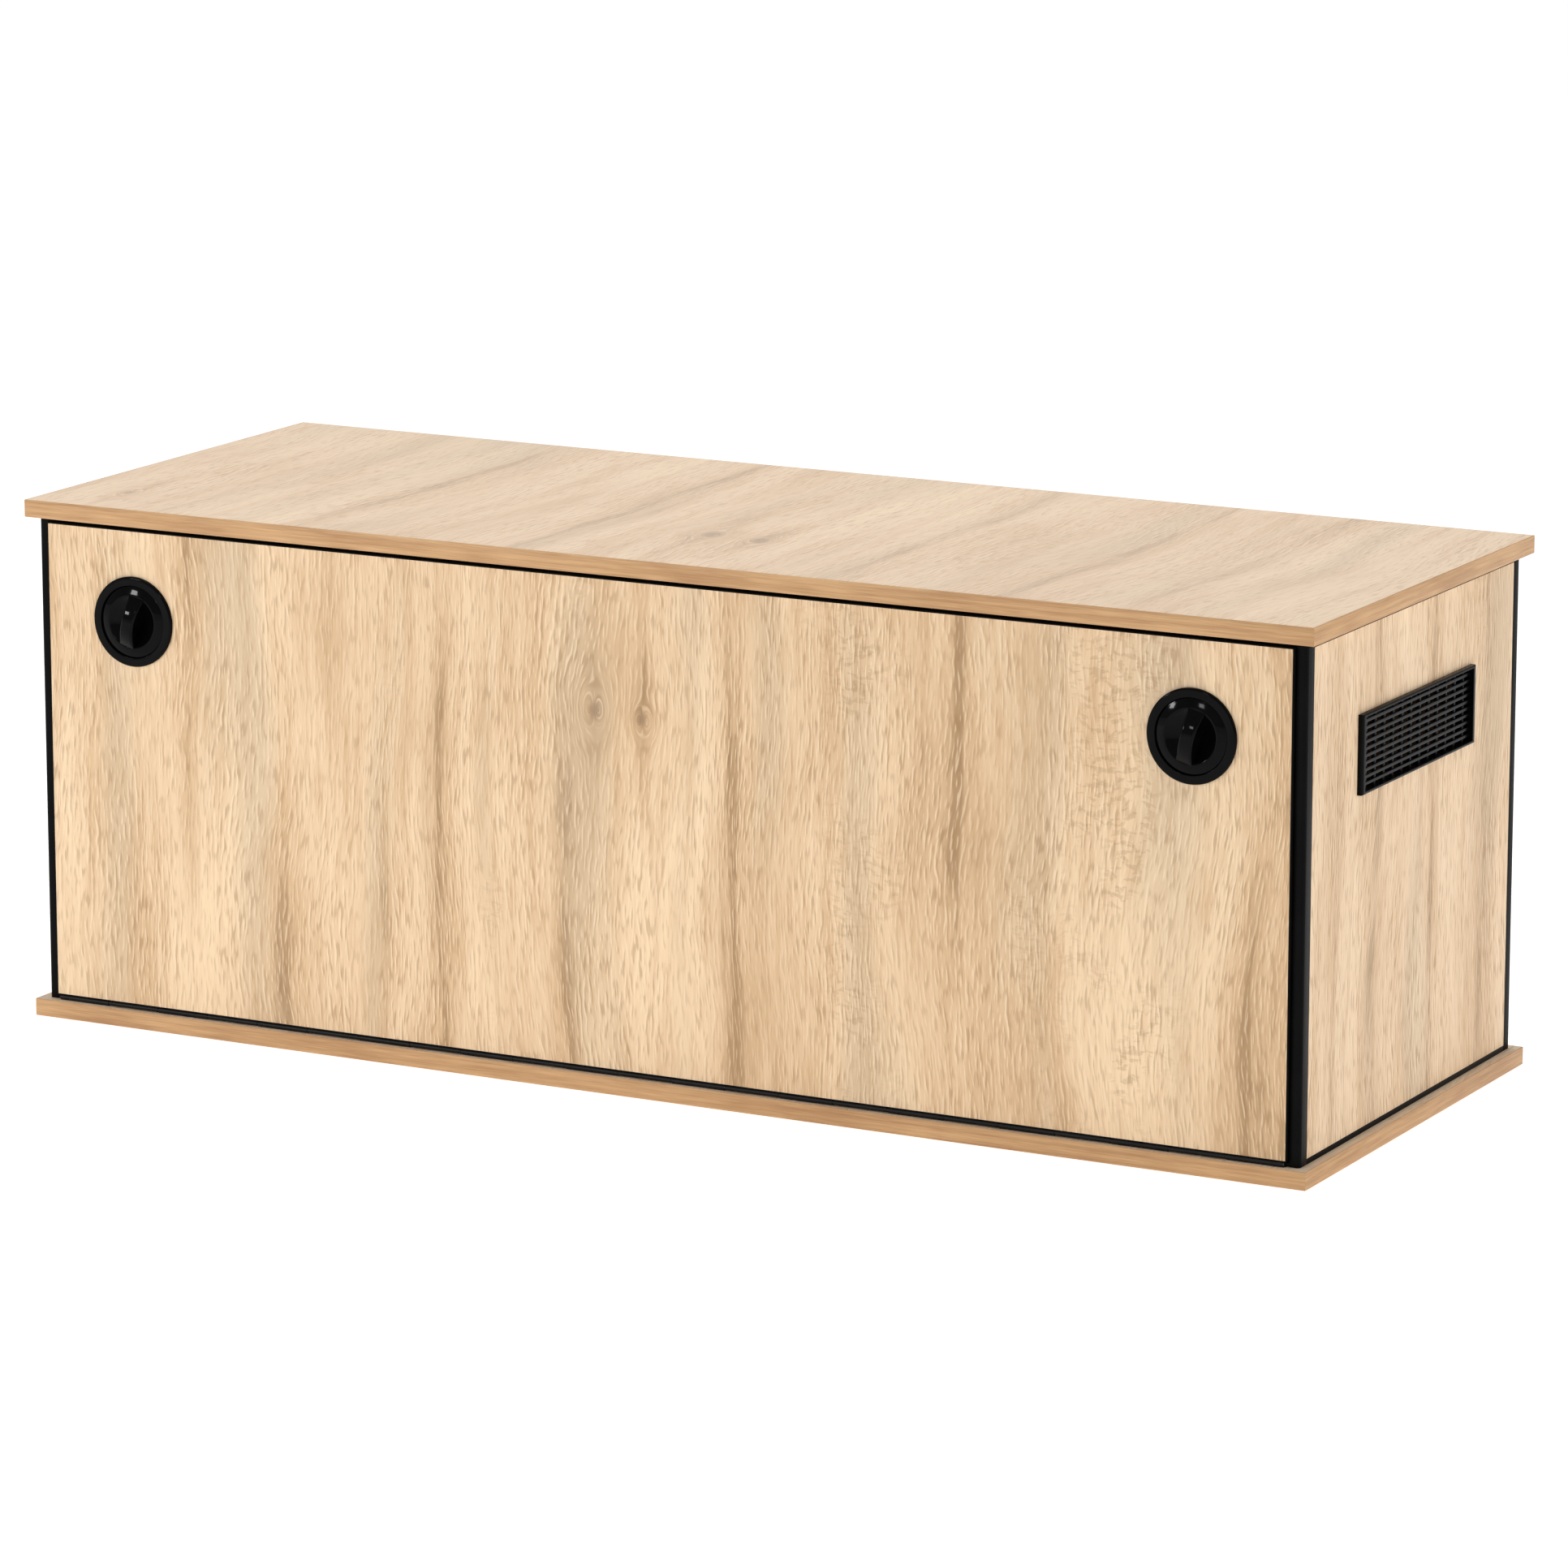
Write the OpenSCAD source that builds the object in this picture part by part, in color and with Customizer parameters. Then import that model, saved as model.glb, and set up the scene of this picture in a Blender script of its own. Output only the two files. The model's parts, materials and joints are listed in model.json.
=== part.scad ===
// Low cabinet: two overhanging slabs, a black corner-post frame, fixed side and back panels with
// vents, and a full-width drop flap on a piano hinge, held shut by two quarter-turn latches.
// Millimetres. X runs along the width, Y from front to back, Z up from the surface it stands on.

/* [Overall] */
// Width over the slabs
cabinet_w = 1200; // [800:10:1600]
// Depth over the slabs
cabinet_d = 450; // [360:10:700]
// Height over the slabs
cabinet_h = 453; // [360:1:700]

/* [Boards] */
// Thickness of the top and bottom slabs
slab_t = 15; // [12:1:25]
// Distance the slabs stand out past the frame on every side
overhang = 9; // [7.5:0.5:20]
// Thickness of the side panels
side_t = 15; // [14:1:22]
// Thickness of the back panel
back_t = 12; // [8:1:18]
// Thickness of the edging strip on the boards
edging_t = 1; // [0.6:0.1:2]

/* [Frame] */
// Width of a corner post seen from the front
post_w = 9.5; // [8:0.5:13]
// Depth of the gap behind the shut flap, where its stops sit
stop_gap = 1.9; // [1.7:0.1:6]
// Radius of a post's outer corner
post_r = 3.5; // [1:0.5:6]
// Height of the rails under and over the fixed panels
rail_h = 5; // [4:0.5:12]
// Thickness of the bar over the flap
head_bar_t = 3; // [2:0.5:6]
// Thickness of the tongues that key the frame into the panels
tongue_t = 3; // [2:0.5:4]
// Depth of the tongues
tongue_l = 6; // [4:1:9]
// Play of a tongue in its groove, each way
groove_play = 0.2; // [0.1:0.05:0.5]

/* [Flap] */
// Thickness of the flap
flap_t = 15; // [14:0.5:19]
// Distance the flap's face stands out past the frame
flap_proud = 3.5; // [3:0.5:6]
// Gap between the flap and the posts and head bar
flap_gap = 0.8; // [0.7:0.1:3]

/* [Hinge] */
// Radius of the hinge pin
pin_r = 0.9; // [0.8:0.05:1.1]
// Radial play of the pin in its knuckles
pin_play = 0.05; // [0.03:0.01:0.08]
// Wall of a knuckle around the pin
knuckle_wall = 0.75; // [0.6:0.05:0.8]
// Nearest length for a knuckle
knuckle_l = 50; // [30:5:90]
// Gap between neighbouring knuckles
knuckle_gap = 0.6; // [0.4:0.1:1.5]
// Thickness of a hinge leaf
leaf_t = 0.8; // [0.6:0.1:1]
// Height of the hinge axis over the bottom slab
hinge_rise = 2.6; // [2.5:0.1:4]
// Number of screws in each leaf
leaf_screws = 10; // [4:1:20]

/* [Latches] */
// Distance from the side of the slab to a latch's centre
latch_inset = 105.5; // [100:0.5:200]
// Distance from the top of the cabinet to a latch's centre
latch_drop = 97.2; // [85:0.1:160]
// Width of the latch flange round the dish
flange_w = 7.5; // [5:0.1:10]
// Thickness of the latch flange
flange_t = 3; // [2:0.5:5]
// Radius of the turning dish
dish_r = 31; // [28:0.1:38]
// Gap around the turning dish
dish_gap = 0.4; // [0.3:0.1:1]
// Radius of the finger bowl in the dish
bowl_r = 22.3; // [18:0.1:25]
// Depth of the finger bowl below the flap's face
bowl_depth = 4; // [2:0.5:6]
// Height of the dish ring's crown over the flap's face
rim_rise = 3.8; // [3:0.1:6]
// Fall of the dish ring from its crown to its outer edge
rim_fall = 1.6; // [0:0.1:3]
// Height of the finger grip over the flap's face
grip_rise = 12; // [10:0.5:13.5]
// Width of the finger grip at its crest
grip_w = 12; // [8:0.5:14]
// Width of the finger grip at its foot
grip_foot_w = 17; // [14:0.5:20]
// Angle of the grip from upright, clockwise seen from the front
grip_lean = 14; // [-30:1:30]
// Thickness of the locking cam
cam_t = 3; // [2:0.5:4]
// Width of the locking cam
cam_w = 14; // [10:1:20]
// Reach of the keeper plate in from the side panel
keeper_reach = 34; // [25:1:38]
// Overlap of the turned cam behind the keeper
keeper_bite = 10.5; // [6:0.5:14]

/* [Vents] */
// Outer length of a vent grille
vent_l = 231; // [150:1:300]
// Outer height of a vent grille
vent_h = 65.6; // [50:0.1:90]
// Distance from the top of the cabinet to a grille's centre
vent_drop = 122.8; // [90:0.1:200]
// Distance the grille rim stands out past the panel
vent_rise = 4.8; // [3:0.1:8]
// Width of the rim at the grille's two ends
vent_end_w = 5.6; // [3:0.1:10]
// Width of the rim along its top and bottom
vent_edge_w = 2.5; // [2:0.1:5]
// Number of long bars
long_bars = 10; // [4:1:14]
// Height of a long bar
long_bar_h = 2.9; // [1.5:0.1:4]
// Number of cross bars behind the long ones
cross_bars = 12; // [4:1:16]
// Width of a cross bar
cross_bar_w = 3.6; // [2:0.1:6]

/* [Cable port] */
// Radius of the open bore of the cable port
port_r = 28; // [20:1:40]
// Height of the cable port's centre over the floor of the bay
port_rise = 95; // [60:1:200]

/* [Hidden] */

$fn = 48;
eps = 0.05;          // overlap that joins two solids of one piece
cut = 1;             // run-out of a cutter past a face
run = 0.3;           // gap between pieces that move past each other

oak = [0.87, 0.75, 0.60];
oak_edge = [0.78, 0.62, 0.45];
frame_black = [0.07, 0.07, 0.07];
plastic_black = [0.10, 0.10, 0.10];
steel = [0.60, 0.61, 0.62];

// The part frame has its origin under the middle of the whole outline, grips included
flap_y = overhang - flap_proud;
grip_overhang = max(0, grip_rise - flap_y);
slab_y = -(cabinet_d - grip_overhang) / 2;

frame_w = cabinet_w - 2 * overhang;
frame_y0 = overhang;
frame_y1 = cabinet_d - overhang;
bay_z0 = slab_t;
bay_z1 = cabinet_h - slab_t;
post_d = flap_t - flap_proud + stop_gap;
rear_post_d = max(post_d, back_t + 1);
post_in = frame_w / 2 - post_w;
panel_x = frame_w / 2 - side_t;
panel_y0 = frame_y0 + post_d;
panel_y1 = frame_y1 - rear_post_d;
panel_z0 = bay_z0 + rail_h;
panel_z1 = bay_z1 - rail_h;
tongue_inset = 2 * tongue_l;
side_mid = panel_x + side_t / 2;
back_mid = frame_y1 - back_t / 2;

// Hinge
pin_inset = 1;
leaf_clear = 0.4;
leaf_end_gap = 3;
knuckle_r = pin_r + pin_play + knuckle_wall;
axis_y = flap_y + pin_inset;
axis_z = bay_z0 + hinge_rise;
leaf_y = axis_y + knuckle_r + leaf_clear;
leaf_len = 2 * (post_in - leaf_end_gap);
knuckles = 2 * floor(leaf_len / knuckle_l / 2) + 1;
knuckle_pitch = leaf_len / knuckles;
leaf_head_r = 2.6;
leaf_head_t = 1.8;
leaf_shank_r = 1.4;
leaf_screw_l = 11;
screw_play = 0.06;

// Flap
flap_back = flap_y + flap_t;
flap_w = 2 * (post_in - flap_gap);
flap_z0 = axis_z + knuckle_r + run;
flap_z1 = bay_z1 - head_bar_t - flap_gap;
sill_top = flap_z0 - leaf_t - leaf_clear;

// Latch, along its own axis: 0 is the flap's face and positive is out towards the hand
latch_x = cabinet_w / 2 - latch_inset;
latch_z = cabinet_h - latch_drop;
barrel_in = dish_r + dish_gap;
barrel_wall = 2;
barrel_r = barrel_in + barrel_wall;
flange_r = barrel_in + flange_w;
flange_ease = 1.8;
flange_lip = 0.5;
nut_t = 6;
nut_sides = 12;
barrel_back = -(flap_t + nut_t);
wall_t = 2.5;
dish_back = -8;
dish_wall = 2;
rim_t = 3;
rim_ease = 1;
hub_r = 12;
hub_gap = 0.2;
journal_r = 8;
journal_play = 0.05;
spindle_w = 8;
spindle_play = 0.05;
cam_gap = 0.5;
cam_hub_r = 11;
cam_front = barrel_back - cam_gap;
cam_back = cam_front - cam_t;
cam_len = panel_x - keeper_reach + keeper_bite - latch_x;
cam_screw_r = 2.45;
cam_screw_l = 10;
cam_screw_end = 1;
bowl_steps = 10;
cam_head_r = 7;
cam_head_t = 3;
cam_socket_r = 2.3;
cam_socket_deep = 2;
bowl_rho = (pow(bowl_r, 2) + pow(bowl_depth + rim_rise, 2)) / (2 * (bowl_depth + rim_rise));
grip_sink = 0.4;      // how far inside the bowl the crest meets its crown
grip_rho = (pow(bowl_r - grip_sink, 2) + pow(grip_rise - rim_rise, 2)) / (2 * (grip_rise - rim_rise));

// Keeper
keeper_t = 2;
keeper_gap = 0.6;
keeper_y1 = flap_y - cam_front - keeper_gap;
keeper_y0 = keeper_y1 - keeper_t;
keeper_h = 30;
keeper_leg = 32;
keeper_screw_in = 20.8;
keeper_screw_y = keeper_y0 + keeper_screw_in;
keeper_screw_spread = 16.8;
keeper_head_r = 3.4;
keeper_head_t = 2;
keeper_socket_r = 1.3;
keeper_socket_deep = 1.2;
keeper_screw_r = 1.75;
keeper_screw_l = 14;

// Vent
vent_z = cabinet_h - vent_drop;
vent_y = cabinet_d / 2;
vent_open_l = vent_l - 2 * vent_end_w;
vent_open_h = vent_h - 2 * vent_edge_w;
vent_wall = 1.2;
vent_inset = 1;
vent_spigot = side_t - vent_inset;
vent_play = 0.2;
vent_cut_l = vent_open_l + 2 * (vent_wall + vent_play);
vent_cut_h = vent_open_h + 2 * (vent_wall + vent_play);
long_front = 1.4;
long_t = 1.1;
cross_t = 2.9;
long_end_share = 0.1;    // the end gaps over the gaps between bars, in pitches
cross_end_share = 0.02;
long_pitch = (vent_open_h - long_bar_h) / (long_bars + long_end_share);
cross_pitch = (vent_open_l - cross_bar_w) / (cross_bars + cross_end_share);

// Cam-lock fittings: a disc in the panel draws down a dowel that is screwed into the slab
disc_r = 7.5;
disc_t = 12;
disc_offset = 30;
disc_slot_w = 1.6;
disc_slot_l = 10.5;
disc_slot_deep = 2;
lock_play = 0.1;
dowel_r = 3.5;
dowel_sunk = 9;
dowel_y = [70, cabinet_d - 70];

// Soft stops for the flap
bumper_r = 2.5;
bumper_off = 0.2;
bumper_inset = 40;

// Cable port
port_edge = 1;
port_wall = 2;
port_flange = 5;
port_flange_t = 2.5;
port_z = bay_z0 + port_rise;

module placed() {
    translate([0, slab_y, 0]) children();
}

module box(x0, x1, y0, y1, z0, z1) {
    translate([x0, y0, z0]) cube([x1 - x0, y1 - y0, z1 - z0]);
}

// Draws its children once on the right, or mirrored on the left
module on_side(right) {
    mirror([right ? 0 : 1, 0, 0]) children();
}

// Slabs and their edging
module slab_board(z0) {
    box(-cabinet_w / 2 + edging_t, cabinet_w / 2 - edging_t, edging_t, cabinet_d - edging_t, z0, z0 + slab_t);
}

module slab_edging(z0) {
    placed() color(oak_edge) difference() {
        box(-cabinet_w / 2, cabinet_w / 2, 0, cabinet_d, z0, z0 + slab_t);
        box(-cabinet_w / 2 + edging_t, cabinet_w / 2 - edging_t, edging_t, cabinet_d - edging_t,
            z0 - cut, z0 + slab_t + cut);
    }
}

// Bores for the dowels, from the slab's inner face
module dowel_bores(face_z, depth) {
    for (s = [-1, 1], y = dowel_y)
        translate([s * side_mid, y, face_z]) cylinder(r = dowel_r + lock_play, h = depth);
}

module top_slab() {
    placed() color(oak) difference() {
        slab_board(bay_z1);
        dowel_bores(bay_z1 - cut, dowel_sunk + lock_play + cut);
    }
}

module bottom_slab() {
    placed() color(oak) difference() {
        slab_board(0);
        dowel_bores(bay_z0 - dowel_sunk - lock_play, dowel_sunk + lock_play + cut);
        sill_screw_places() leaf_screw_bore();
    }
}

// A post's section with its outer corner rounded, standing between the slabs
module post_block(depth) {
    translate([0, 0, bay_z0]) linear_extrude(bay_z1 - bay_z0) difference() {
        translate([post_in, frame_y0]) square([post_w, depth]);
        difference() {
            translate([frame_w / 2 - post_r, frame_y0 - cut]) square([post_r + cut, post_r + cut]);
            translate([frame_w / 2 - post_r, frame_y0 + post_r]) circle(r = post_r);
        }
    }
}

module side_tongue(y0, y1) {
    box(side_mid - tongue_t / 2, side_mid + tongue_t / 2, y0, y1,
        panel_z0 + tongue_inset, panel_z1 - tongue_inset);
}

module post_front(right) {
    placed() color(frame_black) on_side(right) union() {
        post_block(post_d);
        side_tongue(panel_y0 - eps, panel_y0 + tongue_l);
    }
}

module post_rear(right) {
    placed() color(frame_black) on_side(right) union() {
        translate([0, cabinet_d, 0]) mirror([0, 1, 0]) post_block(rear_post_d);
        side_tongue(panel_y1 - tongue_l, panel_y1 + eps);
        box(post_in - tongue_l, post_in + eps, back_mid - tongue_t / 2, back_mid + tongue_t / 2,
            panel_z0 + tongue_inset, panel_z1 - tongue_inset);
    }
}

// Rails under and over the side panels, each with a tongue into the panel
module side_rail(right, top) {
    z0 = top ? panel_z1 : bay_z0;
    tongue_z = top ? panel_z1 - tongue_l : panel_z0 - eps;
    placed() color(frame_black) on_side(right) difference() {
        union() {
            box(panel_x, frame_w / 2, panel_y0, panel_y1, z0, z0 + rail_h);
            box(side_mid - tongue_t / 2, side_mid + tongue_t / 2, panel_y0 + tongue_inset,
                panel_y1 - tongue_inset, tongue_z, tongue_z + tongue_l + eps);
        }
        for (y = dowel_y)
            translate([side_mid, y, z0 - tongue_l - cut])
                cylinder(r = dowel_r + lock_play, h = rail_h + 2 * tongue_l + 2 * cut);
    }
}

module rear_rail(top) {
    z0 = top ? panel_z1 : bay_z0;
    tongue_z = top ? panel_z1 - tongue_l : panel_z0 - eps;
    placed() color(frame_black) union() {
        box(-post_in, post_in, frame_y1 - back_t, frame_y1, z0, z0 + rail_h);
        box(-post_in + tongue_inset, post_in - tongue_inset, back_mid - tongue_t / 2,
            back_mid + tongue_t / 2, tongue_z, tongue_z + tongue_l + eps);
    }
}

// Bars across the front opening: the sill bar lies on the hinge leaf
module sill_bar() {
    placed() color(frame_black) box(-post_in, post_in, frame_y0, panel_y0, bay_z0 + leaf_t, sill_top);
}

module head_bar() {
    placed() color(frame_black) box(-post_in, post_in, frame_y0, panel_y0, bay_z1 - head_bar_t, bay_z1);
}

// Side panel with grooves on four edges, the vent cut-out and the cam-lock pockets
module side_panel(right) {
    g = tongue_t / 2 + groove_play;
    gl = tongue_l + groove_play;
    gi = tongue_inset - groove_play;
    placed() color(oak) on_side(right) difference() {
        box(panel_x, frame_w / 2, panel_y0, panel_y1, panel_z0, panel_z1);
        for (y = [panel_y0 - cut, panel_y1 - gl])
            box(side_mid - g, side_mid + g, y, y + gl + cut, panel_z0 + gi, panel_z1 - gi);
        for (z = [panel_z0 - cut, panel_z1 - gl])
            box(side_mid - g, side_mid + g, panel_y0 + gi, panel_y1 - gi, z, z + gl + cut);
        box(panel_x - cut, frame_w / 2 + cut, vent_y - vent_cut_l / 2, vent_y + vent_cut_l / 2,
            vent_z - vent_cut_h / 2, vent_z + vent_cut_h / 2);
        lock_places() rotate([0, 90, 0])
            translate([0, 0, -cut]) cylinder(r = disc_r + lock_play, h = disc_t + lock_play + cut);
        for (y = dowel_y) {
            translate([side_mid, y, panel_z0 - cut]) cylinder(r = dowel_r + lock_play, h = disc_offset + cut);
            translate([side_mid, y, panel_z1 - disc_offset])
                cylinder(r = dowel_r + lock_play, h = disc_offset + cut);
        }
        keeper_screw_places() translate([0, 0, -cut])
            cylinder(r = keeper_screw_r + lock_play, h = keeper_screw_l - keeper_t + lock_play + cut);
    }
}

// Puts its children on the panel's inner face at each cam lock of one side
module lock_places() {
    for (y = dowel_y, z = [panel_z0 + disc_offset, panel_z1 - disc_offset])
        translate([panel_x, y, z]) children();
}

module cam_lock_discs() {
    placed() color(steel) for (s = [true, false]) on_side(s) difference() {
        lock_places() rotate([0, 90, 0]) cylinder(r = disc_r, h = disc_t);
        for (y = dowel_y, z = [panel_z0 + disc_offset, panel_z1 - disc_offset]) {
            low = z < cabinet_h / 2;
            translate([side_mid, y, low ? z - disc_r - cut : z - cut])
                cylinder(r = dowel_r + lock_play, h = disc_r + 2 * cut);
            for (size = [[disc_slot_l, disc_slot_w], [disc_slot_w, disc_slot_l]])
                box(panel_x - cut, panel_x + disc_slot_deep, y - size[0] / 2, y + size[0] / 2,
                    z - size[1] / 2, z + size[1] / 2);
        }
    }
}

module cam_lock_dowels() {
    shaft = dowel_sunk + rail_h + disc_offset;
    placed() color(steel) for (s = [-1, 1], y = dowel_y) {
        translate([s * side_mid, y, bay_z0 - dowel_sunk]) cylinder(r = dowel_r, h = shaft);
        translate([s * side_mid, y, bay_z1 + dowel_sunk - shaft]) cylinder(r = dowel_r, h = shaft);
    }
}

// Back panel, held by tongues on four edges, with the bore for the cable port
module back_panel() {
    g = tongue_t / 2 + groove_play;
    gl = tongue_l + groove_play;
    gi = tongue_inset - groove_play;
    placed() color(oak) difference() {
        box(-post_in, post_in, frame_y1 - back_t, frame_y1, panel_z0, panel_z1);
        for (x = [-post_in - cut, post_in - gl])
            box(x, x + gl + cut, back_mid - g, back_mid + g, panel_z0 + gi, panel_z1 - gi);
        for (z = [panel_z0 - cut, panel_z1 - gl])
            box(-post_in + gi, post_in - gi, back_mid - g, back_mid + g, z, z + gl + cut);
        translate([0, frame_y1 + cut, port_z]) rotate([90, 0, 0])
            cylinder(r = port_r + port_wall + groove_play, h = back_t + 2 * cut, $fn = 96);
    }
}

module cable_port_ring() {
    placed() color(plastic_black) translate([0, frame_y1 + port_flange_t, port_z]) rotate([90, 0, 0])
        rotate_extrude($fn = 96) polygon([
            [port_r, 0], [port_r + port_wall + port_flange - port_edge, 0],
            [port_r + port_wall + port_flange, port_edge],
            [port_r + port_wall + port_flange, port_flange_t], [port_r + port_wall, port_flange_t],
            [port_r + port_wall, port_flange_t + back_t], [port_r, port_flange_t + back_t]
        ]);
}

// Vent grille: a rim and a short spigot, long bars in front and cross bars behind them
module vent_grille(right) {
    x0 = frame_w / 2;
    y0 = vent_y - vent_open_l / 2;
    z0 = vent_z - vent_open_h / 2;
    placed() color(plastic_black) on_side(right) union() {
        difference() {
            union() {
                box(x0, x0 + vent_rise, vent_y - vent_l / 2, vent_y + vent_l / 2,
                    vent_z - vent_h / 2, vent_z + vent_h / 2);
                box(x0 - vent_spigot, x0 + eps, y0 - vent_wall, y0 + vent_open_l + vent_wall,
                    z0 - vent_wall, z0 + vent_open_h + vent_wall);
            }
            box(x0 - vent_spigot - cut, x0 + vent_rise + cut, y0, y0 + vent_open_l, z0, z0 + vent_open_h);
        }
        for (i = [1 : long_bars])
            translate([x0 + long_front - long_t, y0 - eps, vent_z - long_bar_h / 2
                + (i - (long_bars + 1) / 2) * long_pitch])
                cube([long_t, vent_open_l + 2 * eps, long_bar_h]);
        for (i = [1 : cross_bars])
            translate([x0 + long_front - long_t - cross_t, vent_y - cross_bar_w / 2
                + (i - (cross_bars + 1) / 2) * cross_pitch, z0 - eps])
                cube([cross_t + eps, cross_bar_w, vent_open_h + 2 * eps]);
    }
}

// Soft stops that the shut flap rests against
module flap_bumpers() {
    placed() color(plastic_black) for (s = [-1, 1], z = [panel_z0 + bumper_inset, panel_z1 - bumper_inset])
        translate([s * (panel_x + bumper_r + bumper_off), panel_y0, z]) rotate([90, 0, 0])
            cylinder(r = bumper_r, h = panel_y0 - flap_back - run);
}

// Piano hinge along the flap's bottom edge
module knuckle_run(first) {
    for (i = [first : 2 : knuckles - 1])
        translate([-leaf_len / 2 + i * knuckle_pitch + knuckle_gap / 2, axis_y, axis_z])
            rotate([0, 90, 0]) cylinder(r = knuckle_r, h = knuckle_pitch - knuckle_gap);
}

// Webs that carry the knuckles out from a leaf; dir is -1 down to the sill leaf and 1 up to the flap leaf
module knuckle_webs(first, dir) {
    rise = dir > 0 ? flap_z0 - axis_z : hinge_rise;
    for (i = [first : 2 : knuckles - 1])
        translate([-leaf_len / 2 + i * knuckle_pitch + knuckle_gap / 2, axis_y, dir > 0 ? axis_z : bay_z0])
            cube([knuckle_pitch - knuckle_gap, leaf_y - axis_y + eps, rise]);
}

module pin_bore() {
    translate([-leaf_len / 2 - cut, axis_y, axis_z]) rotate([0, 90, 0])
        cylinder(r = pin_r + pin_play, h = leaf_len + 2 * cut);
}

module hinge_leaf_sill() {
    placed() color(frame_black) difference() {
        union() {
            box(-leaf_len / 2, leaf_len / 2, leaf_y, panel_y0 - leaf_clear, bay_z0, bay_z0 + leaf_t);
            knuckle_run(0);
            knuckle_webs(0, -1);
        }
        pin_bore();
        sill_screw_places() leaf_screw_bore();
    }
}

module hinge_leaf_flap() {
    placed() color(frame_black) difference() {
        union() {
            box(-leaf_len / 2, leaf_len / 2, leaf_y, flap_back - leaf_clear, flap_z0 - leaf_t, flap_z0);
            knuckle_run(1);
            knuckle_webs(1, 1);
        }
        pin_bore();
        flap_screw_places() leaf_screw_bore();
    }
}

module hinge_pin() {
    placed() color(steel) translate([-leaf_len / 2, axis_y, axis_z]) rotate([0, 90, 0])
        cylinder(r = pin_r, h = leaf_len);
}

// A countersunk leaf screw, head up at 0 and shank going down
module leaf_screw(grow) {
    translate([0, 0, -leaf_head_t])
        cylinder(r1 = leaf_shank_r + grow, r2 = leaf_head_r + grow, h = leaf_head_t);
    translate([0, 0, -leaf_screw_l - grow]) cylinder(r = leaf_shank_r + grow, h = leaf_screw_l + grow);
}

module leaf_screw_bore() {
    leaf_screw(screw_play);
    translate([0, 0, -eps]) cylinder(r = leaf_head_r + screw_play, h = cut);
}

function leaf_screw_x(i) = -leaf_len / 2 + (i + 0.5) * leaf_len / leaf_screws;

module sill_screw_places() {
    for (i = [0 : leaf_screws - 1])
        translate([leaf_screw_x(i), (leaf_y + panel_y0) / 2, bay_z0 + leaf_t]) children();
}

module flap_screw_places() {
    for (i = [0 : leaf_screws - 1])
        translate([leaf_screw_x(i), (leaf_y + flap_back) / 2, flap_z0 - leaf_t]) mirror([0, 0, 1]) children();
}

module hinge_screws_sill() {
    placed() color(steel) sill_screw_places() leaf_screw(0);
}

module hinge_screws_flap() {
    placed() color(steel) flap_screw_places() leaf_screw(0);
}

// Flap board and the edging round it
module flap_panel() {
    placed() color(oak) difference() {
        box(-flap_w / 2 + edging_t, flap_w / 2 - edging_t, flap_y, flap_back,
            flap_z0 + edging_t, flap_z1 - edging_t);
        for (s = [-1, 1]) latch_place(s) translate([0, 0, -flap_t - cut])
            cylinder(r = barrel_r + groove_play, h = flap_t + 2 * cut, $fn = 96);
        flap_screw_places() leaf_screw_bore();
    }
}

module flap_edging() {
    placed() color(frame_black) difference() {
        box(-flap_w / 2, flap_w / 2, flap_y, flap_back, flap_z0, flap_z1);
        box(-flap_w / 2 + edging_t, flap_w / 2 - edging_t, flap_y - cut, flap_back + cut,
            flap_z0 + edging_t, flap_z1 - edging_t);
        flap_screw_places() leaf_screw_bore();
    }
}

// Local latch frame: +Z out of the flap towards the hand, +Y up, the origin on the flap's face
module latch_place(s) {
    translate([s * latch_x, flap_y, latch_z]) rotate([90, 0, 0]) children();
}

function right_sign(right) = right ? 1 : -1;

module latch_housing(right) {
    placed() color(plastic_black) latch_place(right_sign(right)) rotate_extrude($fn = 96) polygon(concat(
        [[barrel_in, flange_t - flange_lip], [barrel_in + flange_lip, flange_t]],
        [for (a = [90 : -30 : 0])
            [flange_r - flange_ease * (1 - cos(a)), flange_t - flange_ease * (1 - sin(a))]],
        [[flange_r, 0], [barrel_r, 0], [barrel_r, barrel_back], [journal_r + journal_play, barrel_back],
         [journal_r + journal_play, barrel_back + wall_t], [barrel_in, barrel_back + wall_t]]
    ));
}

module latch_nut(right) {
    nut_in = barrel_r + lock_play;
    placed() color(plastic_black) latch_place(right_sign(right)) translate([0, 0, barrel_back])
        difference() {
            cylinder(r = flange_r, h = nut_t, $fn = nut_sides);
            translate([0, 0, -cut]) cylinder(r = nut_in, h = nut_t + 2 * cut, $fn = 96);
        }
}

// Turning dish: a ring round a shallow finger bowl, an arched grip across it and a spindle behind
module dish_body() {
    bowl_a = asin(bowl_r / bowl_rho);
    edge_rise = rim_rise - rim_fall;
    rotate_extrude($fn = 96) polygon(concat(
        [for (i = [0 : bowl_steps]) let (a = bowl_a * i / bowl_steps)
            [bowl_rho * sin(a), bowl_rho * (1 - cos(a)) - bowl_depth]],
        [[dish_r - rim_ease, edge_rise], [dish_r, edge_rise - rim_ease], [dish_r, dish_back],
         [dish_r - dish_wall, dish_back], [dish_r - dish_wall, edge_rise - rim_t],
         [bowl_r + dish_wall, edge_rise - rim_t], [bowl_r + dish_wall, dish_back],
         [hub_r, dish_back], [hub_r, barrel_back + wall_t + hub_gap],
         [journal_r, barrel_back + wall_t + hub_gap], [journal_r, cam_front + hub_gap],
         [0, cam_front + hub_gap]]
    ));
}

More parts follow.
